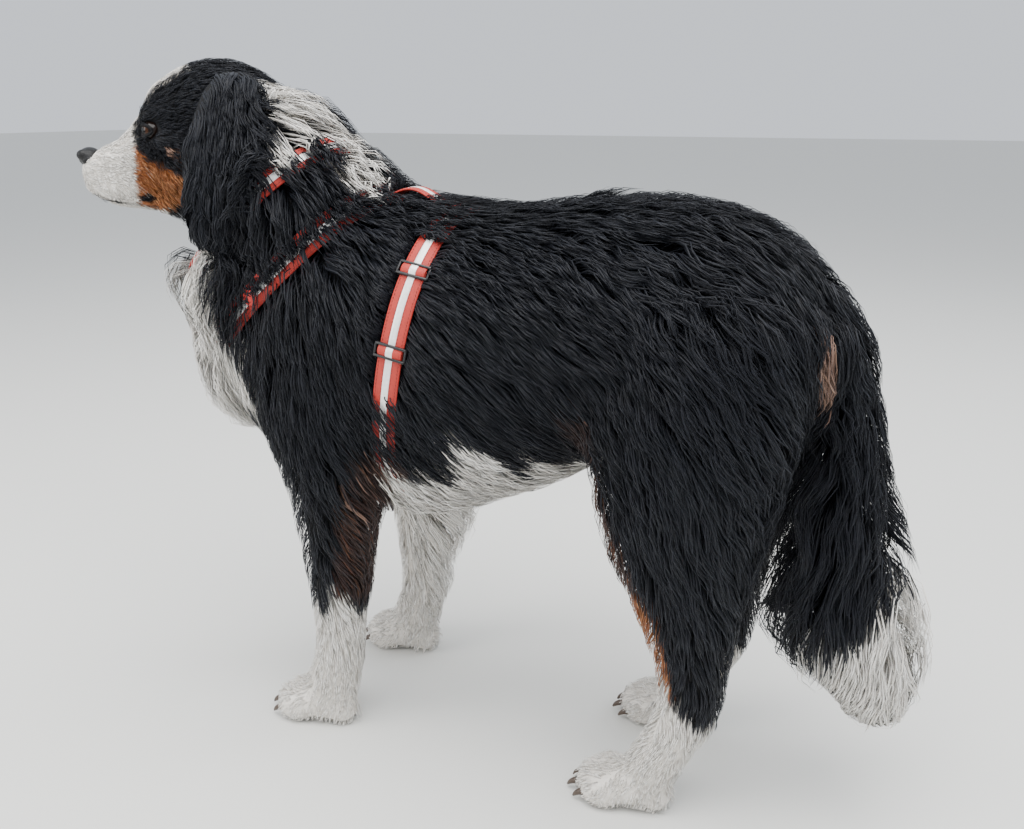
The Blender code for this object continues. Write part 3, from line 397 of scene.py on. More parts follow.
def body_pieces(share, points=28, steps=6):
    trunk = [(x, 0, (top + low) / 2, wide, (top - low) / 2, coat) for x, top, low, wide, coat in TRUNK]
    fine = {"points": points, "steps": steps}
    pieces = [
        tube(trunk, (0, 1, 0), share, power=2.2, **fine),
        tube(NECK, (0, 1, 0), share, **fine),
        tube(TAIL, (0, 1, 0), share, **fine),
        ball(Vector((-0.352, -0.052, 0.575)), (0.056, 0.080, 0.068), share, 0.045),
        ball(Vector((-0.322, 0.000, 0.480)), (0.062, 0.110, 0.115), share, 0.045),
        ball(Vector((-0.290, 0.000, 0.545)), (0.085, 0.125, 0.090), share, 0.045),
    ]
    for name in FEET:
        pieces.append(tube(leg_rows(name), (0, 1, 0), share, **fine))
        pieces += paw(name, share)
    return pieces


def head_pieces(share):
    turn = Matrix.Rotation(HEAD_TURN, 4, "Z")

    def mass(forward, side, height, radii, coat):
        return ball(head_point(forward, side, height), radii, share, coat, turn)

    def stretch(rows, power=2.0):
        points = [tuple(head_point(a, 0, z)) + (w, h, c) for a, z, w, h, c in rows]
        return tube(points, HEAD_ACROSS, share, power)

    pieces = [
        mass(-0.038, 0, 0.764, (0.086, 0.072, 0.069), 0.010),
        mass(0.008, 0, 0.770, (0.046, 0.054, 0.043), 0.008),
        stretch([
            (0.000, 0.712, 0.050, 0.056, 0.006),
            (0.045, 0.706, 0.040, 0.047, 0.005),
            (0.080, 0.699, 0.036, 0.038, 0.004),
            (0.108, 0.696, 0.031, 0.030, 0.003),
        ], power=2.4),
        stretch([
            (-0.050, 0.730, 0.080, 0.078, 0.012),
            (-0.010, 0.728, 0.072, 0.074, 0.010),
            (0.026, 0.720, 0.058, 0.060, 0.007),
            (0.050, 0.710, 0.044, 0.047, 0.005),
        ]),
        stretch([
            (-0.020, 0.668, 0.046, 0.026, 0.008),
            (0.040, 0.664, 0.034, 0.016, 0.005),
            (0.092, 0.667, 0.022, 0.011, 0.003),
        ]),
        tube(NECK[1:], (0, 1, 0), share),
        mass(-0.060, 0, 0.690, (0.085, 0.088, 0.072), 0.030),
    ]
    for side in SIDES.values():
        pieces += [
            mass(-0.014, side * 0.042, 0.704, (0.060, 0.038, 0.050), 0.014),
            mass(0.012, side * 0.050, 0.732, (0.034, 0.018, 0.020), 0.005),
            mass(0.076, side * 0.020, 0.682, (0.042, 0.020, 0.025), 0.003),
            mass(0.036, side * 0.032, 0.766, (0.021, 0.019, 0.015), 0.004),
        ]
    return pieces


def eye_middle(side):
    return head_point(EYE_PLACE[0], side * EYE_PLACE[1], EYE_PLACE[2])


def eye_axes(side):
    """Where the eye looks, its upward direction and the direction to its inner corner."""
    look = (HEAD_AHEAD * math.cos(EYE_SPLAY) + HEAD_ACROSS * side * math.sin(EYE_SPLAY)).normalized()
    up = (Vector((0, 0, 1)) - look * look.z).normalized()
    return look, up, up.cross(look) * side


def bead(points, normals, radii, sides=8):
    """A round cord of flesh, or a groove's cutter, through points that lie on a surface."""
    rings = []
    last = len(points) - 1
    for k, (point, normal, radius) in enumerate(zip(points, normals, radii)):
        along = (points[min(k + 1, last)] - points[max(k - 1, 0)]).normalized()
        across = normal.cross(along).normalized()
        up = along.cross(across)
        rings.append([point + (across * math.cos(a) + up * math.sin(a)) * radius
                      for a in np.arange(sides) * 2 * math.pi / sides])
    return ring_mesh("bead", rings)


def lid(side, upper):
    """A rim of skin that lies over the eyeball, from its inner corner to its outer one."""
    look, up, inner = eye_axes(side)
    opening = math.sin(UPPER_LID) if upper else -math.sin(LOWER_LID)
    points = []
    radii = []
    for k in range(LID_POINTS):
        turn = math.pi * k / (LID_POINTS - 1)
        wide = math.cos(turn) * math.sin(LID_REACH)
        high = math.sin(turn) * opening
        way = (look * math.sqrt(max(0.05, 1 - wide**2 - high**2)) + inner * wide + up * high).normalized()
        points.append(eye_middle(side) + way * (EYE_RADIUS + 0.0006))
        radii.append(0.0013 + 0.0008 * math.sin(turn))
    return bead(points, [(p - eye_middle(side)).normalized() for p in points], radii)


# The line of the mouth on one side, from under the nose to its corner: ahead, sideways, height
MOUTH = [
    (0.1180, 0.004, 0.682),
    (0.1120, 0.015, 0.673),
    (0.1000, 0.026, 0.665),
    (0.0840, 0.034, 0.660),
    (0.0660, 0.039, 0.657),
    (0.0480, 0.043, 0.660),
]
MOUTH_CLEAR = 0.0032  # bare gum on each side of that line
LIP_HEIGHT, LIP_RADIUS, GROOVE_RADIUS = 0.0035, 0.0022, 0.0012  # of the upper lip's rim over the line
# An ear from its root down: ahead, sideways, height, half width and half thickness
EAR = [
    (-0.062, 0.058, 0.806, 0.026, 0.012),
    (-0.056, 0.078, 0.788, 0.036, 0.011),
    (-0.046, 0.090, 0.750, 0.043, 0.010),
    (-0.034, 0.097, 0.705, 0.044, 0.010),
    (-0.022, 0.098, 0.660, 0.034, 0.010),
    (-0.012, 0.095, 0.620, 0.014, 0.008),
]


def surface_of(obj):
    return BVHTree.FromPolygons([v.co for v in obj.data.vertices], [p.vertices for p in obj.data.polygons])


def along_mouth(tree, side, lift):
    """Points of the mouth's line on the head's surface, and the surface's normals there."""
    points = []
    normals = []
    for a, b, z in smooth_rows(MOUTH, 5):
        place, normal, _, _ = tree.find_nearest(head_point(a, side * b, z + lift))
        points.append(place)
        normals.append(normal)
    return points, normals


def ear_mesh(side, grow=0.0):
    rows = [tuple(head_point(a, side * b, z)) + (w, h, 0) for a, b, z, w, h in EAR]
    return tube(rows, HEAD_AHEAD, 0, points=20, steps=6, grow=grow)


def loop_path(tree, middle, normal, start, count=30, reach=0.6, rounds=3):
    """Points where the plane through middle, square to normal, meets the coat, evened out."""
    normal = Vector(normal).normalized()
    first = Vector(start)
    first = (first - normal * first.dot(normal)).normalized()
    second = normal.cross(first)
    radii = []
    ways = []
    for k in range(count):
        a = 2 * math.pi * k / count
        way = first * math.cos(a) + second * math.sin(a)
        hit = tree.ray_cast(middle + way * reach, -way)[0]
        radii.append((hit - middle).length)
        ways.append(way)
    for _ in range(rounds):
        radii = [(radii[k - 1] + 2 * radii[k] + radii[(k + 1) % count]) / 4 for k in range(count)]
    return [middle + w * r for w, r in zip(ways, radii)]


def straight_path(tree, start, end, depth, count):
    """Points on the coat of the median plane between two angles round a place inside the trunk."""
    path = []
    for k in range(count):
        angle = start + (end - start) * k / (count - 1)
        way = Vector((math.cos(angle), 0, math.sin(angle)))
        path.append(tree.ray_cast(depth + way, -way)[0])
    for _ in range(2):
        path = [path[0]] + [(path[k - 1] + 2 * path[k] + path[k + 1]) / 4
                            for k in range(1, count - 1)] + [path[-1]]
    return path


# Colours and finishes


def linear(colour):
    """An sRGB hex colour as linear red, green, blue and full cover."""
    parts = [int(colour[i : i + 2], 16) / 255 for i in (1, 3, 5)]
    return tuple(c / 12.92 if c <= 0.04045 else ((c + 0.055) / 1.055) ** 2.4 for c in parts) + (1.0,)


def add(tree, kind, inputs=None, into=None, **settings):
    """Adds one node: its own settings, its inputs' values or links, and where its first output goes."""
    made = tree.nodes.new(kind)
    for name, value in settings.items():
        setattr(made, name, value)
    for socket, value in (inputs or {}).items():
        if isinstance(value, bpy.types.NodeSocket):
            tree.links.new(value, made.inputs[socket])
        else:
            made.inputs[socket].default_value = value
    if into is not None:
        tree.links.new(made.outputs[0], into)
    return made


def material_named(name, **constants):
    """A material with a Principled shader, its node tree and the shader."""
    material = bpy.data.materials.new(name)
    material.use_nodes = True
    tree = material.node_tree
    shader = tree.nodes["Principled BSDF"]
    for socket, value in constants.items():
        shader.inputs[socket.replace("_", " ")].default_value = value
    return material, tree, shader


def mixed(tree, share, first, second):
    """A colour between two others."""
    return add(tree, "ShaderNodeMix", {0: share, 6: first, 7: second}, data_type="RGBA").outputs[2]


def coat_colour(tree, marks):
    """Hair's colour by its marking: red is the share of white, green of rust, blue the tuft's shade."""
    parts = add(tree, "ShaderNodeSeparateColor", {0: marks.outputs["Color"]})
    shade = parts.outputs["Blue"]
    along = marks.outputs["Alpha"]
    black = mixed(tree, shade, linear("#060608"), linear("#101117"))
    # Black hair grows lighter towards its tips: partly its own colour, partly painted shade at the roots
    # deep in the coat
    black = mixed(tree, add(tree, "ShaderNodeMath", {0: along, 1: 0.35}, operation="MULTIPLY").outputs[0],
                  black, linear("#20222b"))
    white = mixed(tree, shade, linear("#ece7df"), linear("#fffefb"))
    rust = mixed(tree, shade, linear("#94522a"), linear("#cb8c5a"))
    colour = mixed(tree, parts.outputs["Green"], black, rust)
    return mixed(tree, parts.outputs["Red"], colour, white), parts


def hair_material():
    """Guard hair: smooth and slightly oily, so it shines along each lock, cooler in the light on black."""
    material, tree, shader = material_named(
        "dog_guard_hair", IOR=1.50, Specular_IOR_Level=0.19, Sheen_Weight=0.08, Sheen_Roughness=0.45,
        Sheen_Tint=linear("#c0cae0"),
    )
    marks = add(tree, "ShaderNodeAttribute", attribute_name="marking")
    colour, parts = coat_colour(tree, marks)
    strand = add(tree, "ShaderNodeUVMap", uv_map="strand")
    # Every tuft is drawn as several single hairs, with painted shade in the darker gaps between them
    hairs = add(tree, "ShaderNodeMapping", {0: strand.outputs[0], "Scale": (14.0, 0.5, 1.0)})
    gaps = add(tree, "ShaderNodeTexNoise", {"Vector": hairs.outputs[0], "Scale": 1.0, "Detail": 1.0})
    lit = add(tree, "ShaderNodeMapRange", {"Value": gaps.outputs[0], "From Min": 0.32, "From Max": 0.58})
    # The colour of the painted shade between the hairs: deep in black hair, light in white
    gap = mixed(tree, parts.outputs["Red"], linear("#8d8882"), linear("#c6c1ba"))
    gap_shade = mixed(tree, lit.outputs[0], gap, linear("#ffffff"))
    shaded = add(tree, "ShaderNodeMix", {0: 1.0, 6: colour, 7: gap_shade}, data_type="RGBA",
                 blend_type="MULTIPLY")
    tree.links.new(shaded.outputs[2], shader.inputs["Base Color"])
    add(tree, "ShaderNodeMapRange", {"Value": parts.outputs["Red"], "To Min": 0.46, "To Max": 0.65},
        shader.inputs["Roughness"])
    # Ridges of single hairs, 0.2 mm apart, which is about twice as coarse as real ones
    fine = add(tree, "ShaderNodeMapping", {0: strand.outputs[0], "Scale": (9.0, 1.3, 1.0)})
    grain = add(tree, "ShaderNodeTexNoise", {"Vector": fine.outputs[0], "Scale": 1.0, "Detail": 2.0})
    add(tree, "ShaderNodeBump", {"Strength": 0.55, "Distance": 0.0006, "Height": grain.outputs[0]},
        shader.inputs["Normal"])
    return material


def skin_material():
    """Skin under short hair: dull, a little darker than the hair over it, with the hair's fine grain."""
    material, tree, shader = material_named("dog_skin", Specular_IOR_Level=0.2, IOR=1.45)
    marks = add(tree, "ShaderNodeAttribute", attribute_name="marking")
    colour, _ = coat_colour(tree, marks)
    place = add(tree, "ShaderNodeTexCoord")
    grain = add(tree, "ShaderNodeTexNoise", {
        "Vector": place.outputs["Object"], "Scale": 420.0, "Detail": 3.0})
    dark = mixed(tree, grain.outputs[0], linear("#b4afaa"), linear("#fffdfa"))
    deep = add(tree, "ShaderNodeMix", {0: 0.6, 6: colour, 7: dark}, data_type="RGBA", blend_type="MULTIPLY")
    tree.links.new(deep.outputs[2], shader.inputs["Base Color"])
    shader.inputs["Roughness"].default_value = 0.62
    add(tree, "ShaderNodeBump", {"Strength": 0.5, "Distance": 0.0008, "Height": grain.outputs[0]},
        shader.inputs["Normal"])
    return material


def nose_material():
    """Nose leather: black, moist and pebbled in cells of about a millimetre."""
    material, tree, shader = material_named(
        "nose_leather", IOR=1.40, Specular_IOR_Level=0.35, Coat_Weight=0.12, Coat_Roughness=0.25,
    )
    place = add(tree, "ShaderNodeTexCoord")
    cells = add(tree, "ShaderNodeTexVoronoi", {"Vector": place.outputs["Object"], "Scale": 900.0},
                feature="DISTANCE_TO_EDGE")
    lines = add(tree, "ShaderNodeMapRange", {"Value": cells.outputs["Distance"], "From Max": 0.25})
    # The furrows between the cells are painted darker: painted shade in them
    colour = mixed(tree, lines.outputs[0], linear("#040405"), linear("#0f0f11"))
    tree.links.new(colour, shader.inputs["Base Color"])
    add(tree, "ShaderNodeMapRange", {"Value": lines.outputs[0], "To Min": 0.55, "To Max": 0.30},
        shader.inputs["Roughness"])
    add(tree, "ShaderNodeBump", {"Strength": 0.6, "Distance": 0.0003, "Height": lines.outputs[0]},
        shader.inputs["Normal"])
    return material


def eye_material():
    """A dog's eye: dark brown iris round a black pupil under a wet, clear cornea."""
    material, tree, shader = material_named(
        "eye_wet", IOR=1.376, Specular_IOR_Level=0.2, Coat_Weight=0.22, Coat_Roughness=0.03,
    )
    ring = add(tree, "ShaderNodeAttribute", attribute_name="from_pupil")
    fibres = add(tree, "ShaderNodeTexNoise", {"Vector": add(tree, "ShaderNodeTexCoord").outputs["Object"],
                                              "Scale": 900.0})
    shades = add(tree, "ShaderNodeValToRGB", {0: ring.outputs["Fac"]})
    ramp = shades.color_ramp
    stops = [(0.0, "#020203"), (0.30, "#020203"), (0.36, "#2c160a"), (0.58, "#43240d"), (0.72, "#140a05"),
             (0.80, "#0c0705"), (1.0, "#1c1310")]
    while len(ramp.elements) < len(stops):
        ramp.elements.new(0.5)
    for element, (place, colour) in zip(ramp.elements, stops):
        element.position = place
        element.color = linear(colour)
    colour = mixed(tree, add(tree, "ShaderNodeMath", {0: fibres.outputs[0], 1: 0.5},
                             operation="MULTIPLY").outputs[0], shades.outputs[0], linear("#0a0503"))
    tree.links.new(colour, shader.inputs["Base Color"])
    shader.inputs["Roughness"].default_value = 0.12
    return material


def claw_material():
    """Claw horn: dark, mottled with paler brown and unevenly rubbed."""
    material, tree, shader = material_named("claw_horn", IOR=1.55)
    place = add(tree, "ShaderNodeTexCoord")
    mottle = add(tree, "ShaderNodeTexNoise", {"Vector": place.outputs["Object"], "Scale": 520.0})
    tree.links.new(mixed(tree, mottle.outputs[0], linear("#1a1512"), linear("#5c4a3c")),
                   shader.inputs["Base Color"])
    add(tree, "ShaderNodeMapRange", {"Value": mottle.outputs[0], "To Min": 0.30, "To Max": 0.55},
        shader.inputs["Roughness"])
    return material


def whisker_material():
    """Vibrissae: stiff pale horn-like hairs, glossier than the coat."""
    material, tree, shader = material_named("whisker_hair", IOR=1.55)
    place = add(tree, "ShaderNodeTexCoord")
    shade = add(tree, "ShaderNodeTexNoise", {"Vector": place.outputs["Object"], "Scale": 60.0})
    colour = mixed(tree, shade.outputs[0], linear("#4a463f"), linear("#cfc8bb"))
    tree.links.new(colour, shader.inputs["Base Color"])
    shader.inputs["Roughness"].default_value = 0.35
    return material


def webbing_material():
    """Nylon webbing: red, woven in ribs about a millimetre apart, soft sheen, worn darker in patches."""
    material, tree, shader = material_named(
        "red_nylon_webbing", IOR=1.53, Sheen_Weight=0.15, Sheen_Roughness=0.35,
        Sheen_Tint=linear("#ff9a86"),
    )
    cloth = add(tree, "ShaderNodeUVMap", uv_map="cloth")
    # The map is in millimetres; one rib is 1.2 wide, drawn twice as coarse as woven nylon
    ribs = add(tree, "ShaderNodeMapping", {0: cloth.outputs[0], "Scale": (0.8, 1.0, 1.0)})
    warp = add(tree, "ShaderNodeTexWave", {"Vector": ribs.outputs[0], "Scale": 0.26, "Distortion": 0.4},
               bands_direction="X")
    weft = add(tree, "ShaderNodeTexWave", {"Vector": ribs.outputs[0], "Scale": 0.30, "Distortion": 0.4},
               bands_direction="Y")
    weave = add(tree, "ShaderNodeMath", {0: warp.outputs["Fac"], 1: weft.outputs["Fac"]},
                operation="MULTIPLY")
    wear = add(tree, "ShaderNodeTexNoise", {"Vector": cloth.outputs[0], "Scale": 0.12, "Detail": 3.0})
    base = mixed(tree, wear.outputs[0], linear("#86140d"), linear("#b22a1d"))
    colour = mixed(tree, weave.outputs[0], base, linear("#c23324"))
    tree.links.new(colour, shader.inputs["Base Color"])
    shader.inputs["Roughness"].default_value = 0.62
    add(tree, "ShaderNodeBump", {"Strength": 0.5, "Distance": 0.0004, "Height": weave.outputs[0]},
        shader.inputs["Normal"])
    return material


def reflective_material():
    """Reflective tape: silvery white glass-bead cloth, pearly and a little soiled."""
    material, tree, shader = material_named("reflective_tape", IOR=1.6, Metallic=0.25)
    place = add(tree, "ShaderNodeTexCoord")
    beads = add(tree, "ShaderNodeTexNoise", {
        "Vector": place.outputs["Object"], "Scale": 240.0, "Detail": 4.0})
    tree.links.new(mixed(tree, beads.outputs[0], linear("#cfcfca"), linear("#ffffff")),
                   shader.inputs["Base Color"])
    add(tree, "ShaderNodeMapRange", {"Value": beads.outputs[0], "To Min": 0.22, "To Max": 0.45},
        shader.inputs["Roughness"])
    return material


def plastic_material(name, dark, light):
    """Moulded acetal, or polyester thread: an even colour with a faint grain and a soft gloss."""
    material, tree, shader = material_named(name, IOR=1.48)
    place = add(tree, "ShaderNodeTexCoord")
    grain = add(tree, "ShaderNodeTexNoise", {
        "Vector": place.outputs["Object"], "Scale": 700.0, "Detail": 2.0})
    tree.links.new(mixed(tree, grain.outputs[0], linear(dark), linear(light)), shader.inputs["Base Color"])
    add(tree, "ShaderNodeMapRange", {"Value": grain.outputs[0], "To Min": 0.28, "To Max": 0.46},
        shader.inputs["Roughness"])
    add(tree, "ShaderNodeBump", {"Strength": 0.25, "Distance": 0.0002, "Height": grain.outputs[0]},
        shader.inputs["Normal"])
    return material


def placed(obj, material, slot, *nodes):
    """Hangs a finished piece on the dog, with its material and the nodes that it stands for; slot is not
    used.
    """
    obj.data.transform(Matrix.Translation(-CENTRE))
    obj.data.materials.clear()
    obj.data.materials.append(material)
    obj.data.polygons.foreach_set("use_smooth", [True] * len(obj.data.polygons))
    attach(obj, "root")
    if nodes:
        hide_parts(*nodes)
    return obj


# Markings


def wander(places, size, seed):
    """A smooth random field between about -1 and 1 whose swells are as wide as size."""
    draw = np.random.default_rng(seed)
    total = np.zeros(len(places))
    for _ in range(7):
        wave = draw.normal(size=3)
        wave *= 2 * math.pi / size / np.linalg.norm(wave) * draw.uniform(0.6, 1.6)
        total += np.sin(places @ wave + draw.uniform(0, 2 * math.pi))
    return total / 3.5


def least(*fields):
    return np.minimum.reduce(fields)


def most(*fields):
    return np.maximum.reduce(fields)


def rod(places, start, end, thick, tip):
    """How far inside a tapered rod each place lies."""
    start, end = np.array(start), np.array(end)
    line = end - start
    share = np.clip((places - start) @ line / (line @ line), 0, 1)
    gap = np.linalg.norm(places - start - share[:, None] * line, axis=1)
    return thick + (tip - thick) * share - gap


def along_head(places):
    """Each place as ahead of the head's middle, to its right and height."""
    local = places - np.array(HEAD_MIDDLE)
    return local @ np.array(HEAD_AHEAD), local @ np.array(HEAD_ACROSS), places[:, 2]


def up_neck(places):
    """How far each place lies up the neck from the collar."""
    way = np.array([-math.sin(NECK_SLOPE), 0, math.cos(NECK_SLOPE)])
    return (places - np.array(COLLAR_MIDDLE)) @ way


def markings(places, soft=0.005):
    """Shares of white, rust and tan at each place, from 0 to 1, with edges that wander as a coat's do."""
    x, y, z = places.T
    a, b, _ = along_head(places)
    head = up_neck(places) > HEAD_SEAM
    out = np.abs(y)
    uneven = 0.006 * wander(places, 0.030, 3) + 0.004 * wander(places, 0.012, 4)

    blaze = 0.0105 + 0.010 * np.clip((z - 0.770) / 0.035, 0, 1) - np.abs(b)
    white_head = most(
        a - 0.065 + 0.3 * uneven,
        least(blaze, a + 0.004, z - 0.735),
        least(a - 0.030, 0.664 - z, 0.022 - np.abs(b)),
    )
    spread = np.arctan2(out, -(x + 0.200))
    reach = np.radians(np.interp(z, [0.42, 0.45, 0.49, 0.53, 0.64], [72, 63, 50, 44, 42]))
    bib_foot = np.interp(out, [0.03, 0.09], [0.31, 0.41])
    bib = least((reach - spread) * 0.15, z - bib_foot, 0.640 - z, -0.200 - x)
    nape = most(
        rod(places, (-0.243, -0.010, 0.790), (-0.205, -0.016, 0.752), 0.030, 0.036),
        rod(places, (-0.208, -0.045, 0.740), (-0.206, -0.086, 0.716), 0.026, 0.012),
        rod(places, (-0.200, -0.006, 0.744), (-0.140, -0.006, 0.714), 0.028, 0.024),
        rod(places, (-0.140, -0.015, 0.705), (-0.100, -0.026, 0.688), 0.026, 0.004),
        rod(places, (-0.140, -0.025, 0.703), (-0.120, -0.072, 0.684), 0.024, 0.003),
        rod(places, (-0.135, -0.022, 0.700), (-0.108, -0.052, 0.680), 0.020, 0.003),
    )
    belly_top = np.interp(x, [-0.065, 0.022, 0.034, 0.060, 0.165], [0.356, 0.362, 0.402, 0.410, 0.396])
    wedge = 0.035 * np.exp(-((x - 0.100) / 0.009) ** 2)
    belly = least(belly_top - wedge - z, x + 0.065, 0.168 - x)
    under = least(0.070 - out, 0.420 - z, x + 0.300, 0.200 - x)
    right_leg = least(0.420 - z, y - 0.020, -0.040 - x, x + 0.32,
                      most(0.112 - y, 0.190 - z, least(x + 0.110, 0.330 - z)))
    left_leg = least(0.360 - z, y + 0.080, -0.040 - x, 0.000 - y, x + 0.32)
    fore_foot = least(0.166 + 0.024 * np.exp(-((x + 0.142) / 0.014) ** 2) - z, -0.040 - x)
    hind_foot = least(np.minimum(0.150 - 0.8 * (x - 0.281), 0.178) - z, x - 0.100, 0.360 - x)
    tail_tip = least(0.184 + 1.15 * (x - 0.422) - z, x - 0.375)
    white_body = most(bib, nape, belly, under, right_leg, left_leg, fore_foot, hind_foot, tail_tip)
    white = np.where(head, most(white_head, nape), white_body) + np.where(a > 0.0, 0.25, 1.0) * uneven

    cheek_top = np.interp(a, [0.005, 0.030, 0.050, 0.066], [0.694, 0.701, 0.712, 0.733])
    cheek = least(cheek_top - z, 0.070 - a, a + 0.002, z - 0.650)
    cheek_tuft = most(*[
        rod(places, head_point(0.020, side * 0.074, 0.722), head_point(0.014, side * 0.082, 0.690),
            0.009, 0.006)
        for side in SIDES.values()])
    fore_rear = least(x - np.interp(z, [0.19, 0.28, 0.38], [-0.142, -0.122, -0.092]), z - 0.185, 0.378 - z,
                      -0.030 - x)
    shin = least(np.interp(z, [0.13, 0.20, 0.26, 0.33, 0.40], [0.282, 0.272, 0.250, 0.215, 0.190]) - x,
                 z - 0.140, 0.400 - z, x - 0.120)
    vent = most(*[rod(places, (0.404, side * 0.082, 0.532), (0.408, side * 0.050, 0.462), 0.011, 0.008)
                  for side in SIDES.values()])
    elbow = most(*[rod(places, (-0.074, side * 0.128, 0.362), (-0.100, side * 0.120, 0.300), 0.011, 0.005)
                   for side in SIDES.values()])
    flank = np.minimum(rod(places, (0.172, -0.125, 0.446), (0.182, -0.110, 0.420), 0.020, 0.014), 0.003)
    rust = np.where(head, cheek, most(fore_rear, shin, flank)) + 0.5 * uneven
    tan = np.where(head, cheek_tuft, most(vent, elbow)) + 0.5 * uneven
    # Rust is deepest on the cheek, and mixed with black on the legs and the flank
    hind = np.where(z < 0.27, 0.85, 0.30)
    strength = np.where(head, 1.0, np.where(x > 0.18, hind, np.where(x > 0.0, 0.20, 0.24)))
    gum = least(*[
        np.linalg.norm(places - np.array(head_point(q[0], side * q[1], q[2])), axis=1)
        for q in smooth_rows(MOUTH, 5) for side in SIDES.values()])
    corner = least(*[
        np.linalg.norm((places - np.array(head_point(0.053, side * 0.040, 0.664))) * (1, 1, 1.4), axis=1)
        for side in SIDES.values()])
    lips = most(0.0042 - gum, 0.0125 - corner)
    white = np.minimum(white, -lips * 2)
    rust = np.minimum(rust, -lips * 2)
    return (np.clip(0.5 + white / soft, 0, 1), np.clip(0.5 + rust / soft, 0, 1) * strength,
            np.clip(0.5 + tan / soft, 0, 1))


TAN_WHITE, TAN_RUST = 0.10, 0.42  # what tan hair has of each


def with_tan(white, rust, tan):
    """Shares of white and rust once tan, a pale brown between the two, is mixed from them."""
    return np.maximum(white, TAN_WHITE * tan), np.maximum(rust, TAN_RUST * tan)


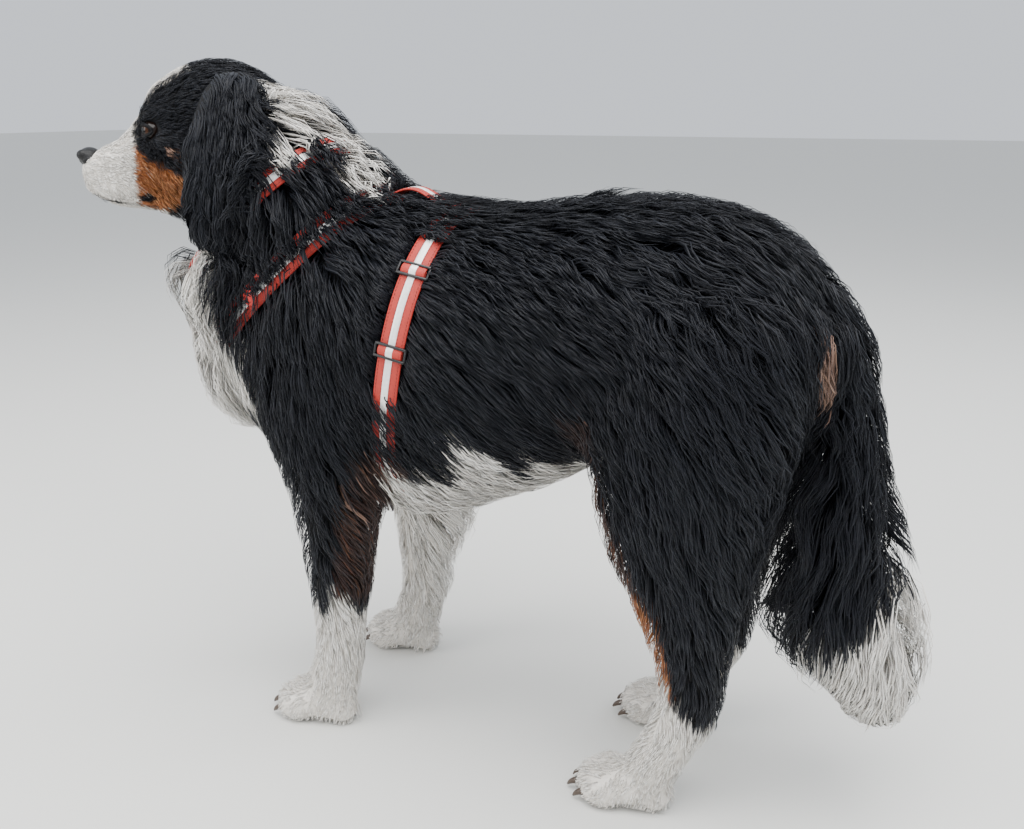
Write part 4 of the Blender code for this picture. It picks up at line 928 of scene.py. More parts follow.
# The lie of the coat: place (x, out from the median, z), lie (back, out, up), length, width, share of
# the coat's depth that the tips reach, wave in degrees, clumping and roots to a square centimetre
BODY_GROOM = np.array([
    (-0.120, 0.00, 0.690, 1.00, 0.35, -0.10, 0.062, 0.0020, 1.04, 20, 0.28, 8.9),
    (-0.020, 0.00, 0.690, 1.00, 0.30, 0.00, 0.060, 0.0020, 1.04, 22, 0.30, 8.9),
    (0.100, 0.00, 0.690, 1.00, 0.25, 0.00, 0.058, 0.0020, 1.04, 24, 0.30, 8.9),
    (0.220, 0.00, 0.695, 1.00, 0.25, -0.10, 0.058, 0.0021, 1.10, 30, 0.35, 8.9),
    (0.310, 0.00, 0.665, 1.00, 0.20, -0.60, 0.058, 0.0021, 1.19, 34, 0.38, 8.9),
    (0.370, 0.03, 0.600, 0.70, 0.20, -1.00, 0.062, 0.0021, 1.08, 30, 0.35, 8.3),
    (-0.120, 0.12, 0.640, 0.90, 0.10, -0.60, 0.068, 0.0021, 0.95, 10, 0.25, 7.6),
    (0.030, 0.13, 0.640, 1.00, 0.10, -0.45, 0.066, 0.0021, 0.95, 18, 0.28, 7.6),
    (0.180, 0.13, 0.640, 1.00, 0.10, -0.50, 0.064, 0.0021, 0.95, 26, 0.31, 7.6),
    (0.290, 0.12, 0.630, 0.90, 0.10, -0.75, 0.064, 0.0021, 1.06, 30, 0.33, 7.6),
    (0.020, 0.16, 0.550, 1.00, 0.00, -0.60, 0.074, 0.0022, 0.92, 8, 0.23, 6.8),
    (0.030, 0.16, 0.460, 0.95, 0.00, -0.70, 0.078, 0.0022, 0.95, 8, 0.23, 6.8),
    (0.160, 0.15, 0.550, 1.00, 0.00, -0.55, 0.072, 0.0022, 0.92, 9, 0.24, 6.8),
    (0.170, 0.14, 0.450, 0.80, 0.00, -0.80, 0.076, 0.0022, 0.98, 10, 0.25, 6.8),
    (0.280, 0.16, 0.560, 0.75, 0.00, -0.90, 0.074, 0.0022, 0.95, 20, 0.28, 6.8),
    (0.280, 0.15, 0.460, 0.50, 0.00, -1.00, 0.076, 0.0022, 0.98, 18, 0.25, 6.8),
    (0.270, 0.14, 0.370, 0.25, 0.00, -1.00, 0.070, 0.0021, 0.98, 9, 0.23, 6.8),
    (0.370, 0.09, 0.520, 0.60, 0.00, -1.00, 0.080, 0.0022, 1.25, 20, 0.25, 6.8),
    (0.370, 0.10, 0.400, 0.45, 0.05, -1.00, 0.086, 0.0022, 1.25, 10, 0.23, 6.1),
    (-0.200, 0.00, 0.740, 0.80, 0.30, -0.70, 0.066, 0.0021, 1.10, 18, 0.28, 7.6),
    (-0.220, 0.12, 0.680, 0.50, 0.00, -0.90, 0.074, 0.0021, 0.95, 9, 0.25, 7.6),
    (-0.220, 0.14, 0.590, 0.35, 0.00, -1.00, 0.078, 0.0022, 0.92, 8, 0.23, 6.8),
    (-0.330, 0.08, 0.610, 0.10, 0.05, -1.00, 0.062, 0.0021, 1.45, 6, 0.25, 9.5),
    (-0.360, 0.02, 0.560, 0.05, 0.00, -1.00, 0.062, 0.0021, 1.45, 6, 0.25, 9.5),
    (-0.350, 0.03, 0.470, 0.10, 0.00, -1.00, 0.062, 0.0021, 1.45, 6, 0.25, 9.5),
    (-0.290, 0.12, 0.460, 0.25, 0.00, -1.00, 0.074, 0.0021, 0.95, 8, 0.23, 7.6),
    (-0.270, 0.05, 0.390, 0.50, 0.00, -1.00, 0.070, 0.0021, 1.00, 6, 0.23, 6.1),
    (-0.150, 0.155, 0.530, 0.50, 0.00, -1.00, 0.074, 0.0022, 0.92, 6, 0.20, 6.8),
    (-0.165, 0.150, 0.440, 0.20, 0.00, -1.00, 0.064, 0.0021, 0.92, 5, 0.20, 6.8),
    (-0.090, 0.140, 0.410, 0.60, 0.00, -0.90, 0.066, 0.0021, 1.00, 6, 0.23, 6.8),
    (-0.100, 0.00, 0.310, 1.00, 0.00, -0.30, 0.060, 0.0023, 0.95, 5, 0.20, 2.3),
    (0.050, 0.00, 0.340, 1.00, 0.10, -0.30, 0.054, 0.0023, 0.80, 5, 0.20, 2.3),
    (0.200, 0.00, 0.400, 1.00, 0.00, -0.10, 0.044, 0.0021, 0.75, 5, 0.20, 3.9),
    (0.050, 0.11, 0.390, 0.95, 0.00, -0.80, 0.066, 0.0022, 0.95, 8, 0.23, 6.1),
    (0.140, 0.10, 0.410, 0.95, 0.00, -0.70, 0.060, 0.0022, 0.85, 8, 0.23, 6.1),
    (-0.215, 0.11, 0.340, 0.02, 0.00, -1.00, 0.034, 0.0019, 0.85, 3, 0.15, 4.8),
    (-0.205, 0.11, 0.250, 0.02, 0.00, -1.00, 0.026, 0.0017, 0.85, 3, 0.12, 5.3),
    (-0.100, 0.11, 0.340, 0.60, 0.00, -1.00, 0.062, 0.0022, 1.50, 8, 0.23, 5.1),
    (-0.115, 0.10, 0.250, 0.60, 0.00, -1.00, 0.058, 0.0020, 1.50, 8, 0.23, 5.8),
    (-0.195, 0.10, 0.150, 0.00, 0.00, -1.00, 0.019, 0.0015, 0.90, 1, 0.12, 7),
    (-0.135, 0.10, 0.160, 0.35, 0.00, -1.00, 0.034, 0.0017, 1.10, 4, 0.17, 5.8),
    (-0.190, 0.10, 0.090, 0.00, 0.00, -1.00, 0.015, 0.0014, 0.95, 1, 0.10, 7.7),
    (-0.220, 0.10, 0.035, -0.90, 0.00, -0.45, 0.009, 0.0013, 1.00, 1, 0.10, 8.3),
    (-0.180, 0.13, 0.030, -0.30, 0.20, -1.00, 0.009, 0.0013, 1.00, 1, 0.10, 7.7),
    (0.200, 0.10, 0.300, 0.10, 0.00, -1.00, 0.036, 0.0020, 0.90, 4, 0.17, 4.2),
    (0.225, 0.10, 0.220, 0.10, 0.00, -1.00, 0.026, 0.0017, 0.85, 3, 0.15, 5.3),
    (0.345, 0.10, 0.300, 0.45, 0.00, -1.00, 0.070, 0.0022, 1.15, 9, 0.23, 5.1),
    (0.325, 0.10, 0.215, 0.30, 0.00, -1.00, 0.040, 0.0020, 1.05, 5, 0.17, 4.8),
    (0.290, 0.10, 0.150, -0.05, 0.00, -1.00, 0.022, 0.0016, 0.90, 3, 0.12, 5.8),
    (0.250, 0.10, 0.095, -0.40, 0.00, -0.90, 0.015, 0.0014, 0.95, 1, 0.10, 7.7),
    (0.200, 0.10, 0.035, -0.90, 0.00, -0.45, 0.009, 0.0013, 1.00, 1, 0.10, 8.3),
    (0.240, 0.13, 0.030, -0.30, 0.20, -1.00, 0.009, 0.0013, 1.00, 1, 0.10, 7.7),
    (0.390, 0.04, 0.560, 0.40, 0.10, -1.00, 0.064, 0.0021, 1.30, 22, 0.28, 13),
    (0.425, 0.04, 0.440, 0.15, 0.05, -1.00, 0.078, 0.0021, 1.45, 10, 0.25, 13),
    (0.440, 0.05, 0.320, 0.15, 0.10, -1.00, 0.086, 0.0022, 1.25, 8, 0.23, 13),
    (0.465, 0.05, 0.230, 0.20, 0.05, -1.00, 0.076, 0.0022, 1.20, 5, 0.20, 13),
    (0.480, 0.03, 0.150, 0.00, 0.00, -1.00, 0.046, 0.0021, 1.05, 4, 0.20, 14),
    (0.385, 0.02, 0.420, -0.10, 0.05, -1.00, 0.090, 0.0022, 1.90, 8, 0.20, 10.8),
    (0.392, 0.02, 0.310, -0.12, 0.05, -1.00, 0.090, 0.0022, 1.90, 8, 0.20, 10.8),
])
# The same for the head: place and lie are ahead of its middle, out from its profile plane, and up
HEAD_GROOM = np.array([
    (0.095, 0.00, 0.735, -1.00, 0.10, 0.30, 0.0065, 0.0009, 0.90, 0, 0.05, 32),
    (0.085, 0.035, 0.700, -1.00, 0.10, -0.35, 0.0090, 0.0010, 0.90, 0, 0.05, 28),
    (0.110, 0.025, 0.690, -1.00, 0.20, -0.35, 0.0070, 0.0009, 0.90, 0, 0.05, 30),
    (0.080, 0.036, 0.672, -0.70, 0.10, -0.90, 0.0100, 0.0010, 1.00, 0, 0.07, 28),
    (0.085, 0.00, 0.654, -0.90, 0.00, -0.30, 0.0070, 0.0010, 1.00, 0, 0.07, 24),
    (0.050, 0.00, 0.765, -0.80, 0.15, 0.60, 0.0085, 0.0010, 0.90, 0, 0.05, 30),
    (0.020, 0.00, 0.812, -1.00, 0.30, 0.30, 0.0130, 0.0011, 0.95, 3, 0.07, 24),
    (-0.030, 0.00, 0.836, -1.00, 0.45, -0.05, 0.0220, 0.0015, 1.00, 8, 0.17, 13.2),
    (-0.080, 0.02, 0.822, -1.00, 0.20, -0.50, 0.0340, 0.0017, 1.00, 22, 0.28, 9.9),
    (-0.115, 0.00, 0.785, -1.00, 0.10, -0.80, 0.0440, 0.0019, 1.00, 22, 0.28, 9.9),
    (0.042, 0.036, 0.778, -0.70, 0.50, 0.50, 0.0090, 0.0010, 0.95, 1, 0.05, 28),
    (0.015, 0.052, 0.775, -1.00, 0.20, 0.10, 0.0130, 0.0011, 0.95, 3, 0.07, 24),
    (-0.030, 0.068, 0.785, -1.00, 0.20, -0.30, 0.0200, 0.0015, 1.00, 9, 0.17, 15.3),
    (0.045, 0.048, 0.728, -1.00, 0.25, -0.35, 0.0085, 0.0010, 0.90, 0, 0.05, 28),
    (0.015, 0.068, 0.735, -1.00, 0.15, -0.40, 0.0150, 0.0011, 0.95, 3, 0.10, 22),
    (0.030, 0.062, 0.700, -1.00, 0.10, -0.55, 0.0170, 0.0011, 0.95, 3, 0.12, 21),
    (-0.010, 0.080, 0.700, -0.90, 0.10, -0.80, 0.0300, 0.0016, 1.00, 6, 0.20, 11.6),
    (0.015, 0.050, 0.660, -0.60, 0.10, -1.00, 0.0300, 0.0016, 1.00, 5, 0.20, 11.6),
    (0.030, 0.00, 0.645, -0.60, 0.00, -0.80, 0.0260, 0.0016, 1.00, 4, 0.17, 11.6),
    (-0.040, 0.00, 0.625, -0.30, 0.00, -1.00, 0.0600, 0.0020, 1.00, 6, 0.23, 7.7),
    (-0.040, 0.070, 0.640, -0.30, 0.05, -1.00, 0.0600, 0.0020, 1.00, 8, 0.23, 7.7),
    (-0.090, 0.090, 0.720, -0.60, 0.05, -1.00, 0.0600, 0.0020, 1.00, 9, 0.25, 7.7),
    (-0.130, 0.040, 0.760, -0.90, 0.10, -0.90, 0.0580, 0.0020, 1.00, 18, 0.28, 7.7),
])
EAR_GROOM = (0.046, 0.0022, 1.35, 22, 0.25, 12.5)  # length, width, share of depth, wave, clumping, roots


def nearness(table, places):
    """How much each row of a groom table counts at each place."""
    gaps = ((places[:, None, :] - table[None, :, :3]) ** 2).sum(2) + 1e-6
    weights = gaps**-2.0
    return weights / weights.sum(1, keepdims=True)


def unit(vectors):
    return vectors / np.maximum(np.linalg.norm(vectors, axis=1, keepdims=True), 1e-9)


def groom_at(places, on_ear):
    """The lie of the coat at each place, and its length, width, rise, wave, clumping and roots."""
    x, y, z = places.T
    mirrored = np.column_stack([x, np.abs(y), z])
    body = nearness(BODY_GROOM, mirrored) @ BODY_GROOM[:, 3:]
    sideways = y / np.sqrt(y**2 + 0.02**2)
    body_lie = unit(np.column_stack([body[:, 0], body[:, 1] * sideways, body[:, 2]]))
    a, b, _ = along_head(places)
    mirrored = np.column_stack([a, np.abs(b), z])
    head = nearness(HEAD_GROOM, mirrored) @ HEAD_GROOM[:, 3:]
    sideways = b / np.sqrt(b**2 + 0.012**2)
    head_lie = unit(head[:, :1] * np.array(HEAD_AHEAD)
                    + (head[:, 1] * sideways)[:, None] * np.array(HEAD_ACROSS)
                    + head[:, 2:3] * np.array([0, 0, 1.0]))
    # The right foreleg's feather is the fuller one
    feather = (y > 0.03) & (y < 0.130) & (x > -0.140) & (x < -0.02) & (z > 0.08) & (z < 0.33)
    fuller = np.interp(z, [0.08, 0.14, 0.27, 0.33], [1, 3.2, 3.0, 1.0])
    body[:, 5] = np.where(feather, body[:, 5] * fuller, body[:, 5])
    share = np.clip((up_neck(places) - HEAD_SEAM) / 0.050 + 0.5, 0, 1)[:, None]
    lie = body_lie * (1 - share) + head_lie * share
    rest = body[:, 3:] * (1 - share) + head[:, 3:] * share
    hang = np.array(HEAD_AHEAD) * 0.05 - np.array([0, 0, 1.0])
    swing = np.clip((z - 0.770) / 0.03, 0, 1)[:, None] * np.sign(b)[:, None] * np.array(HEAD_ACROSS)
    lie = np.where(on_ear[:, None], hang + 0.2 * swing - 0.12 * np.array(HEAD_AHEAD), lie)
    rest = np.where(on_ear[:, None], np.array(EAR_GROOM), rest)
    return unit(lie), rest


def nearest(tree, places):
    """The surface's nearest points, its normals there and how far they are."""
    found = [tree.find_nearest(p) for p in places.tolist()]
    return (np.array([tuple(f[0]) for f in found]), np.array([tuple(f[1]) for f in found]),
            np.array([f[3] for f in found]))


def turned(vectors, axes, angles):
    """Each vector turned about its axis."""
    c, s = np.cos(angles)[:, None], np.sin(angles)[:, None]
    along = axes * (axes * vectors).sum(1, keepdims=True)
    return vectors * c + np.cross(axes, vectors) * s + along * (1 - c)


def corners_of(obj):
    """The corners of the object's triangles, their areas and their normals."""
    mesh = obj.data
    mesh.calc_loop_triangles()
    points = np.empty(len(mesh.vertices) * 3)
    mesh.vertices.foreach_get("co", points)
    index = np.empty(len(mesh.loop_triangles) * 3, np.int32)
    mesh.loop_triangles.foreach_get("vertices", index)
    corners = points.reshape(-1, 3)[index.reshape(-1, 3)]
    cross = np.cross(corners[:, 1] - corners[:, 0], corners[:, 2] - corners[:, 0])
    doubled = np.linalg.norm(cross, axis=1)
    return corners, doubled / 2, cross / np.maximum(doubled, 1e-12)[:, None]


ROOTS = 9300.0  # to a square metre for each root in the tables, which makes 1.5 million triangles
LOCK_SIZE = 16  # tufts that follow one guide
SHORT_HAIR, LONG_HAIR = 0.019, 0.045  # the longest of the short, and the shortest of the long
WAVY = 21.5  # degrees, from which long hair needs more rings
TAIL_START = 0.385
GUIDE_STEPS = 8
BOX_ROOM = 0.005  # how far a tuft may pass the solids' box
RAGGED = 0.006  # how unevenly the tufts end there
FLOOR_GAP = 0.0012
HANG = 0.010  # how far the skin may fall away under a lock before it hangs free
WILD = 0.02  # share of the tufts that stand off the others


def traced(tree, outer, places, normals, on_ear, draw):
    """Guide locks: their places on the skin, outward directions, depth of coat over them and ends."""
    _, rest = groom_at(places, on_ear)
    step = rest[:, :1] * 1.12 / GUIDE_STEPS
    waves = np.radians(rest[:, 3]) * draw.uniform(0.6, 1.3, len(places))
    phase = 2.2 * wander(places, 0.11, 21) + draw.normal(0, 0.45, len(places))
    length = draw.uniform(0.042, 0.062, len(places))
    stray = draw.normal(0, 0.08, len(places))
    free = np.zeros(len(places), bool)
    ends = np.full(len(places), float(GUIDE_STEPS))
    on_head = (up_neck(places) > HEAD_SEAM - 0.04) & (places[:, 2] > 0.58)
    way = None
    path, ups, depths = [places], [normals], [nearest(outer, places)[2]]
    for k in range(GUIDE_STEPS):
        lie = groom_at(places, on_ear)[0]
        run = step[:, 0] * (k + 0.5)
        flat = unit(lie - normals * (lie * normals).sum(1, keepdims=True))
        flat = turned(flat, normals, stray + waves * np.cos(2 * math.pi * run / length + phase))
        if way is not None:
            falling = unit(way + np.array([0, 0, -0.45]))
            flat = np.where(free[:, None], falling, flat)
        # On the head, a lock that turns a sharp corner or juts out over a hollow is cut short there
        if k:
            ends = np.where(on_head & ((flat * first).sum(1) < 0.45), np.minimum(ends, k), ends)
        else:
            first = flat
        way = flat
        reached = places + way * step
        near, slope, gap = nearest(tree, reached)
        jutting = on_head & ~free & (gap > HANG) & (way[:, 2] > -0.75)
        ends = np.where(jutting, np.minimum(ends, k + 1.5), ends)
        free = free | (gap > HANG)
        places = np.where(free[:, None], reached, near)
        hanging = unit(normals - way * (normals * way).sum(1, keepdims=True))
        normals = np.where(free[:, None], hanging, unit(0.5 * normals + slope))
        depths.append(np.where(free, depths[-1] * 0.85, nearest(outer, places)[2]))
        path.append(places)
        ups.append(normals)
    return np.stack(path, 1), np.stack(ups, 1), np.stack(depths, 1), ends / GUIDE_STEPS


def read_along(rows, spots):
    """Rows of guide stations read at fractional stations."""
    low = np.clip(np.floor(spots).astype(int), 0, GUIDE_STEPS - 1)
    share = spots - low
    index = np.arange(len(rows))[:, None]
    if rows.ndim == 3:
        share = share[..., None]
    return rows[index, low] * (1 - share) + rows[index, low + 1] * share


class Straps:
    """Where the straps press on the coat and where the coat lies over them."""

    def __init__(self):
        self.rows = []

    def add(self, points, edges, tree, width, cover, shown, low):
        """Edges point to the strap's lower edge; a width of shown is seen, low from its middle."""
        for point, edge, hidden in zip(points, edges, cover):
            base, _, _, gap = tree.find_nearest(point)
            self.rows.append((*base, gap, width / 2, hidden, *edge, low, shown / 2))

    def ready(self):
        self.table = np.array(self.rows)
        self.near = KDTree(len(self.rows))
        for k, row in enumerate(self.rows):
            self.near.insert(row[:3], k)
        self.near.balance()

    def beside(self, places, chance):
        """The nearest strap's row, how far each place is from it, and where the strap shows."""
        flat = places.reshape(-1, 3)
        found = [self.near.find(p) for p in flat.tolist()]
        rows = self.table[[f[1] for f in found]]
        gap = np.array([f[2] for f in found])
        offset = ((flat - rows[:, :3]) * rows[:, 6:9]).sum(1)
        covered = rows[:, 5] > np.repeat(chance, places.shape[1])
        bare = ~covered & (np.abs(offset - rows[:, 9]) < rows[:, 10]) & (gap < rows[:, 4] + 0.002)
        return rows, gap, covered, bare

    def pressed(self, places, heights, chance):
        """Heights of the coat over the skin, under the straps where they show and over them where not."""
        rows, gap, covered, bare = self.beside(places, chance)
        whole = ~covered & (rows[:, 10] * 2 > rows[:, 4] * 1.9)
        room = np.maximum(rows[:, 3] - 0.0035 + np.maximum(0, gap - rows[:, 4] - 0.002) * 1.1, 0.002)
        low = np.where(bare | whole, room, 1.0).reshape(heights.shape)
        over = (gap < rows[:, 4] + 0.003) & ~bare & ~whole & (heights.ravel() > rows[:, 3] - 0.003)
        high = np.where(over, rows[:, 3] + 0.006, 0.0).reshape(heights.shape)
        high[:, 0] = 0
        return np.maximum(np.minimum(heights, low), high)

    def met(self, places, chance, steps=17):
        """How far along itself each tuft meets a strap that shows, as a share; 1 where it meets none."""
        count = places.shape[1]
        fine = np.linspace(0, 1, steps)
        spots = fine * (count - 1)
        low = np.minimum(spots.astype(int), count - 2)
        share = (spots - low)[None, :, None]
        some = np.flatnonzero([self.near.find(p)[2] < 0.10 for p in places[:, 0].tolist()])
        result = np.ones(len(places))
        if len(some):
            points = places[some][:, low] * (1 - share) + places[some][:, low + 1] * share
            bare = self.beside(points, chance[some])[3].reshape(len(some), steps)
            result[some] = np.where(bare.any(1) & ~bare[:, 0], fine[bare.argmax(1)], 1.0)
        return result


def region_of(places, on_ear):
    """The coat piece that each root belongs to."""
    x, y, z = places.T
    side = np.where(y < 0, "left", "right")
    neck = up_neck(places)
    name = np.where(x < -0.115, "coat_shoulder_", np.where(x < 0.135, "coat_ribs_", "coat_rump_"))
    name = np.char.add(name, side)
    name = np.where((neck > NECK_SEAM - 0.06) & (x < -0.12), np.char.add("coat_neck_", side), name)
    fore = (z < 0.40) & (np.abs(y) > 0.045) & (x < -0.02)
    hind = (z < 0.44) & (np.abs(y) > 0.035) & (x > 0.14) & (x < 0.40)
    name = np.where(fore, np.char.add("coat_foreleg_", side), name)
    name = np.where(hind, np.char.add("coat_hindleg_", side), name)
    behind_legs = ((z < 0.50) | (x > 0.40)) & (x - 0.40 > (0.30 - z) * 2)
    tail = (x > 0.365) & (np.abs(y) < 0.075) & (z < 0.60) & behind_legs
    name = np.where(tail, "coat_tail", name)
    _, b, _ = along_head(places)
    head_side = np.where(b < 0, "left", "right")
    name = np.where(neck > HEAD_SEAM, np.char.add("coat_head_", head_side), name)
    return np.where(on_ear, np.char.add("coat_ear_", head_side), name)


def unwrapped(places, name):
    """The roots' places on an unwrap of the piece's own form: along it, and round it."""
    upright = any(part in name for part in ("leg", "tail", "ear", "head", "neck"))
    along, first, second = (2, 0, 1) if upright else (0, 1, 2)
    low, high = places[:, along].min(), places[:, along].max()
    centre = places.mean(0)
    turn = np.arctan2(places[:, first] - centre[first], places[:, second] - centre[second])
    spread = np.column_stack([(places[:, along] - low) / (high - low), turn / (2 * math.pi) + 0.5])
    return spread * 0.99 + 0.003


def tuft_mesh(name, centres, across, ups, widths, thick, marks, uv, own):
    """One mesh of closed tufts: rings of three points, and a single point at each tip."""
    tufts, count, _ = centres.shape
    rings = count - 1
    sides = across * widths[..., None]
    points = np.empty((tufts, rings * 3 + 1, 3))
    points[:, 0:-1:3] = (centres + sides)[:, :-1]
    points[:, 1:-1:3] = (centres + ups * thick[..., None])[:, :-1]
    points[:, 2:-1:3] = (centres - sides)[:, :-1]
    points[:, -1] = centres[:, -1]
    faces = []
    for r in range(rings - 1):
        for k in range(3):
            n = (k + 1) % 3
            faces.append([3 * r + k, 3 * r + 3 + k, 3 * r + 3 + n, 3 * r + n])
    tip = 3 * rings
    for k in range(3):
        faces.append([tip - 3 + k, tip, tip - 3 + (k + 1) % 3])
    faces.append([0, 1, 2])
    loops = np.array([corner for face in faces for corner in face])
    starts = np.cumsum([0] + [len(face) for face in faces])[:-1]
    size = rings * 3 + 1
    all_loops = (loops[None] + np.arange(tufts)[:, None] * size).ravel()
    all_starts = (starts[None] + np.arange(tufts)[:, None] * len(loops)).ravel()
    mesh = bpy.data.meshes.new(name)
    mesh.vertices.add(tufts * size)
    mesh.vertices.foreach_set("co", points.ravel())
    mesh.loops.add(len(all_loops))
    mesh.loops.foreach_set("vertex_index", all_loops.astype(np.int32))
    mesh.polygons.add(len(all_starts))
    mesh.polygons.foreach_set("loop_start", all_starts.astype(np.int32))
    mesh.update(calc_edges=True)
    along = np.append(np.repeat(np.arange(rings) / rings, 3), 1.0)
    side = np.append(np.tile([0.0, 0.5, 1.0], rings), 0.5)
    colours = np.empty((tufts, size, 4))
    colours[..., 0] = marks[0][:, None]
    colours[..., 1] = marks[1][:, None]
    colours[..., 2] = own[:, None]
    colours[..., 3] = along[None]
    layer = mesh.color_attributes.new("marking", "FLOAT_COLOR", "POINT")
    layer.data.foreach_set("color", colours.ravel())
    patch = np.column_stack([side, along]) * 0.003
    bake = mesh.uv_layers.new(name="OFBake")
    bake.data.foreach_set("uv", (uv[:, None] + patch[None])[:, loops].ravel())
    strand = mesh.uv_layers.new(name="strand")
    spread = np.column_stack([side, along * 3])
    spread = spread[None] + np.column_stack([own * 97, own * 53])[:, None]
    strand.data.foreach_set("uv", spread[:, loops].ravel())
    return mesh


def sown(skin, ears, keep_clear, draw):
    """Roots on the skin, drawn as densely as the tables say, its normals there, and whether on an ear."""
    corners, areas, normals = corners_of(skin)
    middles = corners.mean(1)
    above = middles[:, 2] > 0.55
    on_ear = np.zeros(len(areas), bool)
    on_ear[above] = nearest(ears, middles[above])[2] < ON_EAR
    _, rest = groom_at(middles, on_ear)
    hidden = (middles[:, 2] < 0.004) & (normals[:, 2] < -0.5)
    hoped = areas * rest[:, 5] * ROOTS * ~hidden
    chosen = draw.choice(len(areas), int(hoped.sum()), p=hoped / hoped.sum())
    u, v = draw.random((2, len(chosen)))
    u, v = np.where(u + v > 1, 1 - u, u), np.where(u + v > 1, 1 - v, v)
    c = corners[chosen]
    roots = c[:, 0] + (c[:, 1] - c[:, 0]) * u[:, None] + (c[:, 2] - c[:, 0]) * v[:, None]
    clear = np.ones(len(roots), bool)
    for middle, radius in keep_clear:
        clear &= np.linalg.norm(roots - np.array(middle), axis=1) > radius
    return roots[clear], normals[chosen][clear], on_ear[chosen][clear]


def guide_of(roots, up, leaders):
    """The guide that each root follows: a near one, on skin that faces the same way."""
    near = KDTree(int(leaders.sum()))
    for k, root in enumerate(roots[leaders]):
        near.insert(root, k)
    near.balance()
    some = np.array([[found[1] for found in near.find_n(root, 8)] for root in roots.tolist()])
    apart = np.linalg.norm(roots[:, None] - roots[leaders][some], axis=2)
    apart += 0.03 * (1 - (up[:, None] * up[leaders][some]).sum(2))
    return some[np.arange(len(some)), apart.argmin(1)]


def grow_coat(skin, tree, outer, ears, straps, keep_clear, hair):
    """Grows the coat over the skin and hangs it on the dog in pieces."""
    draw = np.random.default_rng(5)
    roots, up, ear_root = sown(skin, ears, keep_clear, draw)
    rest = groom_at(roots, ear_root)[1]

    # One root in sixteen leads a lock, and the others near it follow
    leaders = draw.random(len(roots)) < 1 / LOCK_SIZE
    path, ups, depths, ends = traced(tree, outer, roots[leaders], up[leaders], ear_root[leaders], draw)
    clump = guide_of(roots, up, leaders)
    wavy = np.clip(rest[leaders, 3] / 30, 0.15, 1)
    lean = 0.95 + 0.09 * wavy * wander(path[:, 0], 0.075, 31) + draw.normal(0, 0.025, len(path))
    tilt = draw.normal(0, 0.12, len(path))

    # Short hair needs fewer rings than long or wavy hair, and no tuft reaches past the solids' box
    low, high = np.array(CAD_BOX) + np.array(CENTRE) + [[-BOX_ROOM], [BOX_ROOM]]
    names = region_of(roots, ear_root)
    curved = (rest[:, 3] > WAVY) | (roots[:, 0] > TAIL_START)
    kind = np.where(rest[:, 0] < SHORT_HAIR, 0, np.where((rest[:, 0] < LONG_HAIR) | ~curved, 1, 2))
    names = np.char.add(names, np.array(["_short", "_smooth", "_wavy"])[kind])
    for name in sorted(set(names)):
        mine = np.flatnonzero(names == name)
        count = 3 + kind[mine[0]]
        groom = Lock(rest[mine], count, draw)
        guide = clump[mine]
        strand = Strand(path[guide], ups[guide], depths[guide], roots[mine], groom)
        reach = draw.uniform(0.66, 1.0, len(mine)) * ends[guide]
        chance = draw.random(len(mine))
        cut = straps.met(strand.laid(reach)[0], chance)
        keep = (cut > 0.16) & (ends[guide] > 0.2)
        skin_places, out, deep = strand.laid(reach * cut)
        dome = np.clip(strand.sideways / 0.009, -1, 1)
        full = rest[mine, 2] * lean[guide] * (1 - 0.16 * wavy[guide] * dome**2) * groom.layer
        height = deep * full[:, None] * (1 - (1 - groom.places) ** 2.2) * (1 - 0.12 * groom.places**4)
        height *= (0.4 + 0.6 * ends[guide])[:, None]
        height = straps.pressed(skin_places, height, chance)
        centres = skin_places + out * height[..., None]
        slack = draw.uniform(0, RAGGED, (len(mine), 1, 1))
        centres = np.clip(centres, low + slack, high - slack)
        centres[..., 2] = np.maximum(centres[..., 2], FLOOR_GAP)
        ways = np.gradient(centres, axis=1)
        ways = unit(ways.reshape(-1, 3))
        flat = out.reshape(-1, 3)
        flat = unit(flat - ways * (flat * ways).sum(1, keepdims=True))
        roll = np.repeat(tilt[guide] + draw.normal(0, 0.14, len(mine)) - 0.40 * dome, count)
        flat = turned(flat, ways, roll)
        across = np.cross(flat, ways).reshape(centres.shape)
        flat = flat.reshape(centres.shape)
        marks = tuft_marks(0.6 * centres[:, -2] + 0.4 * centres[:, -1], ear_root[mine], draw)
        uv = unwrapped(roots[mine], name)
        for middle, _ in keep_clear[:2]:
            keep &= (np.linalg.norm(centres - np.array(middle), axis=2) > EYE_RADIUS + EYE_GUARD).all(1)
        wide = groom.wide[keep]
        mesh = tuft_mesh(name, centres[keep], across[keep], flat[keep], wide, wide * 0.45,
                         [m[keep] for m in marks], uv[keep], draw.random(keep.sum()))
        placed(link(name, mesh), hair, "coat")


class Lock:
    """The form of each tuft: its rings' places, half widths and how near to the outside it lies."""

    def __init__(self, rest, count, draw):
        tufts = len(rest)
        self.places = np.linspace(0, 1, count)[None]
        shape = np.interp(self.places[0], [0, 0.3, 0.65, 0.9, 1], [0.60, 1.0, 0.92, 0.5, 0.0])
        wild = draw.random(tufts) < WILD
        self.layer = (0.50 + 0.50 * draw.beta(2.6, 0.9, tufts)) * np.where(wild, 1.06, 1.0)
        thin = 1.0 if count == 3 else 0.88
        wide = rest[:, 1] * thin * draw.uniform(0.7, 1.3, tufts) * np.where(wild, 0.5, 1.0)
        self.wide = (wide / 2)[:, None] * shape
        self.loose = 1 - rest[:, 4][:, None] * self.places**1.3
        self.drift = draw.normal(0, 1, tufts)[:, None] * self.places**1.5 * (rest[:, 0] * 0.045)[:, None]


